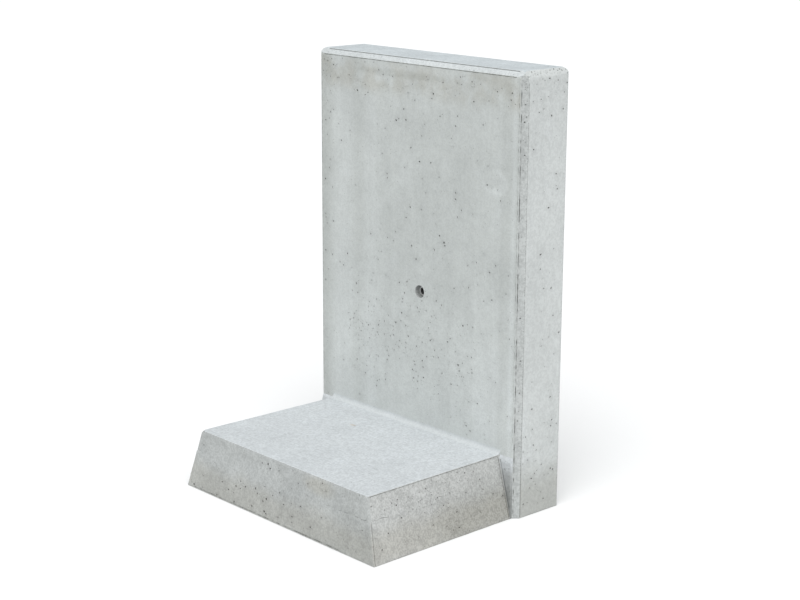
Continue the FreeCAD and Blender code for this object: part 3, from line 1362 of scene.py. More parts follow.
@dataclass
class Casting:
    """The concrete: an upright bevelled wall on a tapered foot.

    Attributes:
        low: The lowest corner of its box.
        high: The highest corner of its box.
        thickness: The wall's thickness.
        foot_height: The foot's height.
        socket: The lifting socket cast into it.
        bevel: The width of the wall's bevels.
        side_inset: How far each side of the foot leans in at its top.
        toe_inset: How far the toe leans in at its top.
        toe_flare: How much further out each side of the foot is at the toe.
        seam_height: Where the foot's upright corners turn from sharp to round.
        corner_radius: The radius of those round corners.
        cove_radius: The hollow fillet between the foot's top and the wall.
        band_step: How far the wall's lowest band stands proud.
        band_slope: The height of the band's sloping ledge.
    """

    low: Vector
    high: Vector
    thickness: float
    foot_height: float
    socket: Socket
    bevel: float = 9 * MM
    side_inset: float = 29 * MM
    toe_inset: float = 12 * MM
    toe_flare: float = 3 * MM
    seam_height: float = 66 * MM
    corner_radius: float = 3 * MM
    cove_radius: float = 8 * MM
    band_step: float = 4 * MM
    band_slope: float = 6 * MM

    ROUND_STEPS = 5
    SEED = 411
    TOP_SEAM = (-0.225, 0.23)
    LIP_SEAM = (-0.225, 0.16)

    def __post_init__(self) -> None:
        """Work out the levels that the panels share."""
        self.half = self.high.x
        self.face_half = self.half - self.bevel
        self.top = self.high.z
        self.shoulder = self.top - self.bevel
        self.back_y = self.high.y
        self.soil_y = self.back_y - self.thickness
        self.toe_y = self.low.y
        self.band_y = self.soil_y - self.band_step
        self.band_top = self.foot_height - self.band_slope
        self.rng = random.Random(self.SEED)

    @classmethod
    def from_frame(cls, socket: Socket) -> "Casting":
        """Read the casting's box and levels from the frame.

        Args:
            socket: The lifting socket cast into it.

        Returns:
            The casting.
        """
        low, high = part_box("concrete_body")
        places = {mount["name"]: mount["pos_m"] for mount in frame["record"]["mounts"]}
        thickness = 2 * (high.y - places["left_joint_face"][Axis.Y.value])
        foot_height = places["foot_top"][Axis.Z.value]
        return cls(low, high, thickness, foot_height, socket)

    def side_x(self, y: float, z: float) -> float:
        """Give half the foot's width at a place along it and a height.

        Args:
            y: The place along it.
            z: The height.

        Returns:
            Half the width.
        """
        beside_wall = self.face_half - self.side_inset * z / self.foot_height
        flare = self.toe_flare * max(0.0, self.band_y - y) / (self.band_y - self.toe_y)
        return beside_wall + flare

    def toe_corner(self, z: float) -> Vector:
        """Give the sharp right corner of the toe at a height."""
        y = self.toe_y + self.toe_inset * z / self.foot_height
        return Vector((self.side_x(y, z), y, z))

    def round_corner(self, z: float) -> list[Vector]:
        """Give the points of the toe's rounded right corner at a height, from toe to side.

        Args:
            z: The height.

        Returns:
            The points.
        """
        corner = self.toe_corner(z)
        along_side = Vector((self.side_x(self.band_y, z), self.band_y, z)) - corner
        along_side.normalize()
        along_toe = Vector((-1, 0, 0))
        half_angle = along_toe.angle(along_side) / 2
        reach = self.corner_radius / math.tan(half_angle)
        inward = (along_toe + along_side).normalized()
        centre = corner + inward * (self.corner_radius / math.sin(half_angle))
        start = corner + along_toe * reach - centre
        end = corner + along_side * reach - centre
        turn = start.angle(end)
        points = []
        for k in range(self.ROUND_STEPS + 1):
            share = k / self.ROUND_STEPS
            mix = (start * math.sin((1 - share) * turn) + end * math.sin(share * turn)) / math.sin(turn)
            points.append(centre + mix)
        return points

    def cove_profile(self, x: float) -> list[Vector]:
        """Give the points of the cove at one end, from the foot's top up to the wall.

        Args:
            x: The end's place.

        Returns:
            The points.
        """
        points = []
        for k in range(self.ROUND_STEPS + 1):
            angle = math.pi / 2 * k / self.ROUND_STEPS
            y = self.soil_y - self.cove_radius * (1 - math.sin(angle))
            z = self.foot_height + self.cove_radius * (1 - math.cos(angle))
            points.append(Vector((x, y, z)))
        return points

    # ---- the wall ----

    def soil_face(self) -> Panel:
        """Make the wall's front, with the socket's hole in it and pores below the socket.

        Returns:
            The panel.
        """
        foot_half = self.side_x(self.soil_y, self.foot_height)
        cove_top = self.foot_height + self.cove_radius
        right = [
            (foot_half, cove_top),
            (foot_half, self.foot_height),
            (self.face_half, self.foot_height),
            (self.face_half, self.shoulder),
        ]
        corners = [Vector((x, self.soil_y, z)) for x, z in right]
        corners += [Vector((-x, self.soil_y, z)) for x, z in reversed(right)]
        mouth = Vector((self.socket.mouth.x, self.soil_y, self.socket.mouth.z))
        panel = Panel(
            Surface.SOIL_FACE,
            corners,
            Vector((0, -1, 0)),
            hole=(mouth, self.socket.recess_radius),
        )
        edge = self.face_half - 1.8 * MM
        panel.features += [
            Seam((edge, 0.13), (edge, self.shoulder - 12 * MM), 0.8 * MM, 1.2 * MM, 0.9),
            Seam((-edge, 0.13), (-edge, self.shoulder - 12 * MM), 0.6 * MM, 0.9 * MM, 1.0),
            Seam(
                (-edge + 8 * MM, self.shoulder - 1.5 * MM),
                (edge - 8 * MM, self.shoulder - 1.5 * MM),
                0.75 * MM,
                1.2 * MM,
                0.35,
            ),
        ]
        for x, z, radius in self.LARGE_PORES:
            panel.features.append(Pore(x * MM, z * MM, radius * MM, 1.1, 1.3 * x, z))
        panel.add_pores(self.rng, 9500, (0.7 * MM, 1.7 * MM), self.soil_pores, math.pi / 2)
        return panel

    # Larger pores of the soil face: x, height and radius, in millimetres.
    LARGE_PORES = (
        (-145, 669, 2.0), (44, 681, 1.9), (-46, 628, 2.1), (-22, 631, 1.9), (12, 565, 1.8),
        (-10, 485, 1.8), (99, 514, 1.6), (62, 447, 1.8), (73, 437, 2.3), (75, 432, 1.9),
        (-6, 419, 1.8), (50, 421, 1.5), (120, 304, 2.0), (-30, 297, 2.0), (-45, 277, 2.0),
        (-13, 259, 1.8), (110, 234, 2.2), (-232, 504, 2.0), (-2, 202, 1.6),
    )

    def soil_pores(self, place: Vector) -> float:
        """Say how likely a pore is at a place on the soil face.

        Args:
            place: The place.

        Returns:
            The chance, from 0 to 1.
        """
        below_socket = Vector((place.x - 0.03, (place.z - 0.26) * 1.5)).length
        cluster = 0.6 * math.exp(-((below_socket / 0.12) ** 2))
        low_left = Vector((place.x + 0.12, place.z - 0.235)).length
        cluster += 0.45 * math.exp(-((low_left / 0.055) ** 2))
        under_top = 0.2 * math.exp(-(((self.shoulder - 0.02 - place.z) / 0.045) ** 2))
        corner = 0.8 if place.x < -0.2 and place.z > self.shoulder - 0.04 else 0.0
        left = 0.2 * math.exp(-(((place.x + self.face_half) / 0.022) ** 2))
        patch = 0.5 + 0.5 * noise.noise(place * 18)
        return (0.05 + cluster + under_top + left + corner) * (0.2 + 1.4 * patch)

    def plain_pores(self, share: float) -> Callable[[Vector], float]:
        """Give a weight that is the same all over but for loose clusters."""
        return lambda place: share * (0.3 + 1.4 * max(0.0, 0.5 + noise.noise(place * 11)))

    def end_pores(self, place: Vector) -> float:
        """Say how likely a pore is at a place on an end of the wall.

        Args:
            place: The place.

        Returns:
            The chance, from 0 to 1.
        """
        low_down = 0.35 * math.exp(-(((place.z - 0.07) / 0.07) ** 2))
        head = 0.5 * math.exp(-(((self.top - place.z) / 0.05) ** 2))
        return 0.1 + low_down + head + 0.2 * max(0.0, noise.noise(place * 13))

    def wall_middle(self) -> list[Panel]:
        """Make the wall's panels that reach from side to side.

        Returns:
            The panels, the soil face first.
        """
        wide, deep = self.face_half, self.half - self.bevel / 2
        front, back = self.soil_y, self.back_y
        panels = [self.soil_face()]
        back_face = Panel(
            Surface.BACK_FACE,
            [
                Vector((x * wide, back, z))
                for x, z in ((1, 0), (-1, 0), (-1, self.shoulder), (1, self.shoulder))
            ],
            Vector((0, 1, 0)),
        )
        back_face.add_pores(self.rng, 900, (0.5 * MM, 1.9 * MM), self.plain_pores(0.35))
        top = Panel(
            Surface.TOP_FACE,
            [
                Vector((x * wide, y, self.top))
                for x, y in (
                    (-1, front + self.bevel),
                    (1, front + self.bevel),
                    (1, back - self.bevel),
                    (-1, back - self.bevel),
                )
            ],
            Vector((0, 0, 1)),
            grid=9 * MM,
            waviness=0.4 * MM,
            wave_length=30 * MM,
        )
        top.features += [
            Pore(-wide + 78 * MM, front + self.bevel + 7 * MM, 2.3 * MM, 1.1, 0.2, 4.0),
            Pore(wide - 14 * MM, back - self.bevel - 9 * MM, 2.6 * MM, 1.3, 0.2, 14.0),
            Pore(wide - 22 * MM, back - self.bevel - 14 * MM, 2.0 * MM, 1.2, 0.6, 24.0),
        ]
        top.add_pores(self.rng, 240, (0.5 * MM, 1.3 * MM), self.plain_pores(0.3))
        panels += [back_face, top]
        for y, inner, turned in ((front, self.bevel, -1), (back, -self.bevel, 1)):
            peak = (deep, y + inner / 2, self.top - self.bevel / 2)
            right = [(wide, y, self.shoulder), peak, (wide, y + inner, self.top)]
            right = [Vector(place) for place in right]
            corners = right + self.mirrored(right)
            bevel = Panel(Surface.TOP_BEVEL, corners, Vector((0, turned, 1)), waviness=0.2 * MM)
            line_y, line_z = y + 0.83 * inner, self.top - 0.17 * self.bevel
            line = [Vector((x, line_y, line_z)) for x in self.TOP_SEAM]
            bevel.add_seam(line, 0.9 * MM, 1.5 * MM, 0.2)
            bevel.add_pores(self.rng, 260, (0.6 * MM, 1.2 * MM), self.plain_pores(0.3))
            panels.append(bevel)
        return panels

    def wall_side(self, side: int) -> list[Panel]:
        """Make the end of the wall and its bevels.

        Args:
            side: 1 for the right, -1 for the left.

        Returns:
            The panels.
        """
        wide, half, mid = self.face_half, self.half, self.half - self.bevel / 2
        front, back = self.soil_y, self.back_y
        peak = self.top - self.bevel / 2

        def at(x: float, y: float, z: float) -> Vector:
            """Give a point of the right side as it is on this side."""
            return Vector((side * x, y, z))

        end_face = Panel(
            Surface.END_FACE,
            [
                at(half, front + self.bevel, 0),
                at(half, back - self.bevel, 0),
                at(half, back - self.bevel, self.shoulder),
                at(half, front + self.bevel, self.shoulder),
            ],
            Vector((side, 0, 0)),
        )
        line_y = front + self.bevel + 1.3 * MM
        for low, high, wide_line, depth, patchy in (
            (3 * MM, 0.27, 0.85 * MM, 1.6 * MM, 0.2),
            (0.27, 0.715, 0.75 * MM, 1.3 * MM, 0.45),
        ):
            end_face.add_seam([at(half, line_y, z) for z in (low, high)], wide_line, depth, patchy)
        end_face.add_pores(self.rng, 1100, (0.7 * MM, 1.9 * MM), self.end_pores)

        front_bevel = Panel(
            Surface.UPRIGHT_BEVEL,
            [
                at(wide, front, 0),
                at(wide, front, self.foot_height),
                at(wide, front, self.shoulder),
                at(mid, front + self.bevel / 2, peak),
                at(half, front + self.bevel, self.shoulder),
                at(half, front + self.bevel, 0),
            ],
            Vector((side, -1, 0)),
            waviness=0.2 * MM,
        )
        slit = [at(wide + 1.3 * MM, front + 1.3 * MM, z) for z in (4 * MM, self.shoulder - 12 * MM)]
        front_bevel.add_seam(slit, 0.9 * MM, 1.25 * MM, 0.85)
        front_bevel.add_pores(self.rng, 420, (0.7 * MM, 1.5 * MM), self.plain_pores(0.3))
        back_bevel = Panel(
            Surface.UPRIGHT_BEVEL,
            [
                at(wide, back, 0),
                at(half, back - self.bevel, 0),
                at(half, back - self.bevel, self.shoulder),
                at(mid, back - self.bevel / 2, peak),
                at(wide, back, self.shoulder),
            ],
            Vector((side, 1, 0)),
            waviness=0.2 * MM,
        )
        top_bevel = Panel(
            Surface.END_FACE,
            [
                at(half, front + self.bevel, self.shoulder),
                at(half, back - self.bevel, self.shoulder),
                at(mid, back - self.bevel / 2, peak),
                at(wide, back - self.bevel, self.top),
                at(wide, front + self.bevel, self.top),
                at(mid, front + self.bevel / 2, peak),
            ],
            Vector((side, 0, 1)),
            waviness=0.2 * MM,
        )
        top_bevel.add_pores(self.rng, 120, (0.7 * MM, 1.6 * MM), self.plain_pores(0.5))
        return [end_face, front_bevel, back_bevel, top_bevel]

    # ---- the foot ----

    # Larger pores of the toe: x, height and radius, in millimetres.
    LARGE_TOE_PORES = (
        (-110, 34, 1.9), (-98, 33, 1.6), (-84, 40, 1.8), (-58, 44, 2.2), (-52, 37, 1.6),
        (-28, 34, 2.3), (-36, 28, 2.0), (5, 54, 1.7), (-30, 93, 2.3), (-24, 87, 1.9),
        (-226, 6, 2.2), (-238, 24, 1.8), (-160, 5, 1.8), (-112, 6, 2.2), (-64, 12, 2.2),
        (-31, 12, 2.4), (-26, 9, 1.8),
    )

    def toe_pores(self, place: Vector) -> float:
        """Say how likely a pore is at a place on the toe.

        Args:
            place: The place.

        Returns:
            The chance, from 0 to 1.
        """
        high_up = 0.12 * math.exp(-(((self.foot_height - place.z) / 0.03) ** 2))
        edge = 0.35 * math.exp(-(((place.z - 0.008) / 0.008) ** 2)) if place.x < 0.05 else 0.0
        row_level = 0.04 + 0.14 * (place.x + 0.07)
        row = 0.6 * math.exp(-(((place.z - row_level) / 0.008) ** 2)) if -0.13 < place.x < 0.05 else 0.0
        return (0.05 + high_up + edge + row) * (0.4 + 0.8 * max(0.0, 0.5 + noise.noise(place * 16)))

    def side_pores(self, place: Vector) -> float:
        """Say how likely a pore is at a place on a side of the foot.

        Args:
            place: The place.

        Returns:
            The chance, from 0 to 1.
        """
        cluster = Vector((place.y + 0.06, (place.z - 0.085) * 2)).length
        near_top = 0.6 * math.exp(-((cluster / 0.065) ** 2))
        return 0.03 + near_top

    def foot_middle(self) -> list[Panel]:
        """Make the foot's panels that reach from side to side, and the underside.

        Returns:
            The panels.
        """
        seam, top = self.seam_height, self.foot_height
        corner = self.toe_corner(seam)
        low_arc, high_arc = self.round_corner(seam), self.round_corner(top)
        right = [self.toe_corner(0), corner, low_arc[0], high_arc[0]]
        toe = Panel(Surface.TOE, right + self.mirrored(right), Vector((0, -1, 0)))
        for start, end, depth in ((0.012, 0.075, 0.5), (0.09, 0.15, 0.2)):
            ends = [corner + Vector((-x, 0, 0)) for x in (start, end)]
            toe.add_seam(ends, 0.5 * MM, depth * MM, 0.9, 3 * MM)
        lip = [Vector((x, self.toe_y + 0.3 * MM, 2.6 * MM)) for x in self.LIP_SEAM]
        toe.add_seam(lip, 0.9 * MM, 1.3 * MM, 0.7, 0.4 * MM)
        for x, z, radius in self.LARGE_TOE_PORES:
            level = toe.flat(Vector((x * MM, self.toe_y, z * MM)))[1]
            toe.features.append(Pore(x * MM, level, radius * MM, 1.1, x, z))
        toe.add_pores(self.rng, 1500, (0.8 * MM, 1.7 * MM), self.toe_pores)

        cove = self.cove_profile(self.side_x(self.soil_y, top))
        right = [*high_arc, cove[0]]
        foot_top = Panel(
            Surface.FLOATED,
            right + self.mirrored(right),
            Vector((0, 0, 1)),
            grid=6.5 * MM,
            waviness=0.7 * MM,
            wave_length=22 * MM,
        )
        foot_top.add_pores(self.rng, 420, (0.45 * MM, 1.0 * MM), self.plain_pores(0.3))
        panels = [toe, foot_top]
        for lower, upper in zip(cove, cove[1:]):
            right = [lower, upper]
            outward = Vector((0, -1, 1))
            panels.append(Panel(Surface.COVE, right + self.mirrored(right), outward, waviness=0.0))

        front, back = self.soil_y, self.back_y
        right = [
            Vector((self.face_half, back, 0)),
            Vector((self.half, back - self.bevel, 0)),
            Vector((self.half, front + self.bevel, 0)),
            Vector((self.face_half, front, 0)),
            Vector((self.face_half, self.band_y, 0)),
            self.toe_corner(0),
        ]
        down = Vector((0, 0, -1))
        outline = right + self.mirrored(right)
        underside = Panel(Surface.UNDERSIDE, outline, down, grid=20 * MM, waviness=0.0)
        underside.add_pores(self.rng, 260, (0.8 * MM, 2.4 * MM), self.plain_pores(0.3))
        return [*panels, underside]

    def foot_side(self, side: int) -> list[Panel]:
        """Make one side of the foot, its rounded corner, and the band and cove beside the wall.

        Args:
            side: 1 for the right, -1 for the left.

        Returns:
            The panels.
        """
        seam, top, wide = self.seam_height, self.foot_height, self.face_half
        low_arc, high_arc = self.round_corner(seam), self.round_corner(top)
        cove = self.cove_profile(self.side_x(self.soil_y, top))
        band_foot = Vector((self.side_x(self.band_y, 0), self.band_y, 0))
        band_head = Vector((self.side_x(self.band_y, self.band_top), self.band_y, self.band_top))
        ledge_end = Vector((self.side_x(self.soil_y, top), self.soil_y, top))
        band_edge = Vector((wide, self.band_y, self.band_top))
        ledge_edge = Vector((wide, self.soil_y, top))
        wall_foot = Vector((wide, self.soil_y, 0))

        def here(points: Iterable[Vector]) -> list[Vector]:
            """Give points of the right side as they are on this side."""
            return [Vector((side * p.x, p.y, p.z)) for p in points]

        def panel(surface: Surface, points: Iterable[Vector], outward: Sequence[float]) -> Panel:
            """Make a flat panel of this side from points of the right side."""
            return Panel(surface, here(points), *here([Vector(outward)]), waviness=0.0)

        flank = panel(
            Surface.FOOT_SIDE,
            [
                self.toe_corner(0),
                band_foot,
                band_head,
                ledge_end,
                cove[0],
                high_arc[-1],
                low_arc[-1],
                self.toe_corner(seam),
            ],
            (1, 0, 0.2),
        )
        flank.waviness = 0.25 * MM
        behind = Vector((0, 3.0 * MM, 0))
        bottom = self.toe_corner(2 * MM) + behind
        head = self.toe_corner(seam - 3 * MM) + behind
        flank.add_seam(here((bottom, head)), 0.7 * MM, 1.3 * MM, 0.25, 0.8 * MM)
        level = [self.toe_corner(seam) + Vector((0, y * MM, 0)) for y in (8, 40)]
        flank.add_seam(here(level), 0.5 * MM, 0.5 * MM, 0.7, 2.5 * MM)
        # These grooves are darkened through the pit attribute; along the rear edge the dark line is
        # painted shade, the shadow line between the foot's side and the band.
        rim = [p + Vector((0.5 * MM, 0, -1.8 * MM)) for p in (high_arc[-1], cove[0])]
        rear = [band_foot + Vector((0, -1.6 * MM, 5 * MM)), band_head + Vector((0, -1.6 * MM, 0))]
        for ends, force in ((rim, 1.0), (rear, 1.7)):
            flank.add_seam(here(ends), 0.6 * force * MM, force * MM, 0.3)
        flank.add_pores(self.rng, 1300, (0.9 * MM, 1.6 * MM), self.side_pores)

        panels = [flank]
        for k in range(self.ROUND_STEPS):
            strip = [low_arc[k], low_arc[k + 1], high_arc[k + 1], high_arc[k]]
            panels.append(panel(Surface.TOE, strip, (1, -1, 0)))
        panels.append(panel(Surface.TOE, [self.toe_corner(seam), *low_arc], (0, 0, 1)))
        band = panel(Surface.BAND, [band_foot, band_edge, band_head], (0, -1, 0))
        # The groove along the band's edge beside the foot is darkened through the pit attribute as
        # painted shade.
        inset = Vector((2.2 * MM, 0, 0))
        slit = [band_foot.lerp(band_head, share) + inset for share in (0.2, 0.97)]
        band.add_seam(here(slit), 1.2 * MM, 2.2 * MM, 0.1)
        band.add_pores(self.rng, 60, (0.8 * MM, 1.6 * MM), lambda place: 0.5)
        panels += [
            band,
            panel(Surface.BAND, [band_edge, ledge_edge, ledge_end, band_head], (0, -1, 0.5)),
            panel(Surface.BAND, [wall_foot, band_foot, band_edge, ledge_edge], (1, 0, 0)),
            panel(Surface.COVE, [ledge_end, *cove], (1, 0, 0)),
        ]
        return panels

    @staticmethod
    def mirrored(points: Sequence[Vector]) -> list[Vector]:
        """Give points mirrored left for right, in the order that closes an outline."""
        return [Vector((-p.x, p.y, p.z)) for p in reversed(points)]

    def add_recess(self, skin: Skin, soil_face: Panel) -> None:
        """Sink the socket's recess and its sleeve's bed into the soil face.

        Args:
            skin: The skin to add them to.
            soil_face: The panel with the hole.
        """
        socket = self.socket
        depth = socket.mouth.y - self.soil_y
        bed = socket.radius + socket.clearance
        bed_depth = socket.tail_y + socket.clearance - self.soil_y
        narrow = socket.recess_radius - socket.recess_draft
        # Each ring gives radius, depth and painted shade, darker deeper into the recess and the
        # sleeve's bed.
        profile = (
            (socket.recess_radius - 0.45 * MM, 0.35 * MM, 0.0),
            (socket.recess_radius - 0.6 * MM, 1.2 * MM, 0.05),
            (narrow, depth * 0.55, 0.15),
            (narrow, depth - 0.5 * MM, 0.35),
            (narrow - 0.5 * MM, depth, 0.5),
            (bed, depth, 0.5),
            (bed, bed_depth, 1.0),
        )
        near = [skin.shared_point(p) for p in skin.hole_loop(soil_face)]
        centre = soil_face.hole[0]
        for radius, sink, shade in profile:
            middle = Vector((0, sink, 0))
            far = [skin.add_point(centre + p * radius + middle, shade) for p in circle(skin.HOLE_SIDES)]
            skin.add_strip(near, far, Surface.RECESS)
            near = far
        end = skin.add_point(centre + Vector((0, bed_depth, 0)), 1.0)
        for a, b in pairs_round(near):
            skin.add_triangle((a, b, end), Surface.RECESS, Vector((0, -1, 0)))

    def build(self, finishes: dict[Surface, bpy.types.Material]) -> bpy.types.Object:
        """Build the casting's mesh and dress it.

        Args:
            finishes: The material of each surface.

        Returns:
            The new object.
        """
        skin = Skin(self.rng)
        wall = self.wall_middle()
        for panel in [*wall, *self.foot_middle()]:
            skin.add_panel(panel)
        for side in (1, -1):
            for panel in [*self.wall_side(side), *self.foot_side(side)]:
                skin.add_panel(panel)
        self.add_recess(skin, wall[0])
        skin.wear_edges(Wear())
        log.info("skin: %d triangles, %d open edges", len(skin.triangles), skin.open_edges())
        return skin.make_object("concrete_casting", finishes)


@dataclass
class LiftingSleeve:
    """The steel sleeve of the lifting socket, with its thread.

    Attributes:
        socket: Where it lies.
        root_radius: The thread's radius at the bottom of its grooves.
        crest_radius: The thread's radius at its crests.
        pitch: The distance from one turn of the thread to the next.
        thread_depth: How far in the thread goes.
        mouth_rounding: How much its outer rim is rounded.
        pin_radius: The radius of the hole for the cross pin.
    """

    socket: Socket
    root_radius: float = 6.0 * MM
    crest_radius: float = 5.15 * MM
    pitch: float = 1.75 * MM
    thread_depth: float = 39 * MM
    mouth_rounding: float = 0.5 * MM
    pin_radius: float = 4.1 * MM

    SIDES = 48
    STEPS_PER_TURN = 8

    def thread_radius(self, depth: float, angle: float) -> float:
        """Give the bore's radius at a depth and an angle.

        Args:
            depth: The depth behind the mouth.
            angle: The angle, in radians.

        Returns:
            The radius.
        """
        phase = (depth / self.pitch - angle / math.tau) % 1.0
        wave = min(1.0, max(0.0, 1.6 * abs(2 * phase - 1) - 0.3))
        fade = min(1.0, depth / self.pitch, (self.thread_depth - depth) / self.pitch)
        return self.crest_radius + (self.root_radius - self.crest_radius) * wave * max(0.0, fade)

    def profile(self) -> list[tuple[float, Callable[[float], float]]]:
        """Give each ring as its depth behind the mouth and its radius at an angle.

        Returns:
            The rings, from the tail round the mouth and into the bore.
        """

        def plain(radius: float) -> Callable[[float], float]:
            """Give the same radius at every angle."""
            return lambda angle: radius

        def turned(depth: float) -> Callable[[float], float]:
            """Give the thread's radius at a depth, by the angle."""
            return lambda angle: self.thread_radius(depth, angle)

        length = self.socket.tail_y - self.socket.mouth.y
        outer, soft = self.socket.radius, self.mouth_rounding
        rings = [(length, plain(outer - soft)), (length - soft, plain(outer))]
        rings += [(length * k / 8, plain(outer)) for k in range(7, 0, -1)]
        rings += [(soft, plain(outer)), (0.3 * soft, plain(outer - 0.3 * soft))]
        rings.append((0.0, plain(outer - soft)))
        rings += [(0.0, plain(self.root_radius + 0.25 * MM)), (0.35 * MM, plain(self.root_radius))]
        count = int(self.thread_depth / self.pitch * self.STEPS_PER_TURN)
        first = 0.9 * MM
        for k in range(count + 1):
            depth = first + (self.thread_depth - first) * k / count
            rings.append((depth, turned(depth)))
        rings.append((self.thread_depth + 1.0 * MM, plain(self.crest_radius * 0.5)))
        return rings

    def build(self, finish: bpy.types.Material, bore: bpy.types.Material) -> bpy.types.Object:
        """Build the sleeve's mesh, drill it for the pin and dress it.

        Args:
            finish: Its material.
            bore: The material of its thread, near-black as painted shade inside the bore.

        Returns:
            The new object.
        """
        mouth = self.socket.mouth
        rings = self.profile()
        points, faces = [], []
        for depth, radius_at in rings:
            for k in range(self.SIDES):
                angle = math.tau * k / self.SIDES
                radius = radius_at(angle)
                offset = Vector((radius * math.cos(angle), depth, radius * math.sin(angle)))
                points.append(mouth + offset)
        for row in range(len(rings) - 1):
            for k in range(self.SIDES):
                here, beside = row * self.SIDES + k, row * self.SIDES + (k + 1) % self.SIDES
                faces.append((here, here + self.SIDES, beside + self.SIDES, beside))
        last = (len(rings) - 1) * self.SIDES
        for row, ring in ((0, range(self.SIDES)), (len(rings) - 1, range(self.SIDES - 1, -1, -1))):
            centre = mouth + Vector((0, rings[row][0], 0))
            points.append(centre)
            start = 0 if row == 0 else last
            order = [start + k for k in ring]
            faces += [(a, b, len(points) - 1) for a, b in pairs_round(order)]
        mesh = bpy.data.meshes.new("lifting_sleeve")
        mesh.from_pydata([tuple(p) for p in points], [], faces)
        mesh.materials.append(finish)
        mesh.materials.append(bore)
        # Faces inside the bore take the near-black material of painted shade.
        for face in mesh.polygons:
            gap = face.center - mouth
            in_bore = math.hypot(gap.x, gap.z) < self.root_radius + 0.1 * MM and gap.y > 0
            face.material_index = int(in_bore)
        sleeve = add_object("lifting_sleeve", mesh)
        self.drill(sleeve)
        sleeve.data.polygons.foreach_set("use_smooth", [True] * len(sleeve.data.polygons))
        sleeve.data.set_sharp_from_angle(angle=math.radians(35))
        return sleeve

    def drill(self, sleeve: bpy.types.Object) -> None:
        """Cut the hole for the cross pin through the sleeve's tail.

        Args:
            sleeve: The sleeve's object.
        """
        low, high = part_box("socket_cross_pin")
        pin_middle = (low + high) / 2
        points, faces = [], []
        for x in (-1.5 * self.socket.radius, 1.5 * self.socket.radius):
            for k in range(self.SIDES):
                angle = math.tau * k / self.SIDES
                reach = self.pin_radius
                across = Vector((x, math.cos(angle) * reach, math.sin(angle) * reach))
                points.append(pin_middle + across)
        for k in range(self.SIDES):
            beside = (k + 1) % self.SIDES
            faces.append((k, k + self.SIDES, beside + self.SIDES, beside))
        faces.append(tuple(range(self.SIDES)))
        faces.append(tuple(range(2 * self.SIDES - 1, self.SIDES - 1, -1)))
        mesh = bpy.data.meshes.new("pin_drill")
        mesh.from_pydata([tuple(p) for p in points], [], faces)
        drill = add_object("pin_drill", mesh)
        cut = sleeve.modifiers.new("pin_hole", "BOOLEAN")
        cut.object = drill
        cut.solver = "EXACT"
        bpy.context.view_layer.update()
        drilled = sleeve.evaluated_get(bpy.context.evaluated_depsgraph_get())
        cleaned = bpy.data.meshes.new_from_object(drilled)
        sleeve.modifiers.clear()
        sleeve.data = cleaned
        bpy.data.objects.remove(drill)


# ---- Colours ----


PASTE = (0.543, 0.569, 0.557)
FLOATED_PASTE = (0.57, 0.615, 0.635)
FOOT_PASTE = (0.482, 0.5, 0.493)
BROWN = (0.91, 0.88, 0.83)
DARK = (0.86, 0.86, 0.85)
PALE = (1.09, 1.09, 1.1)


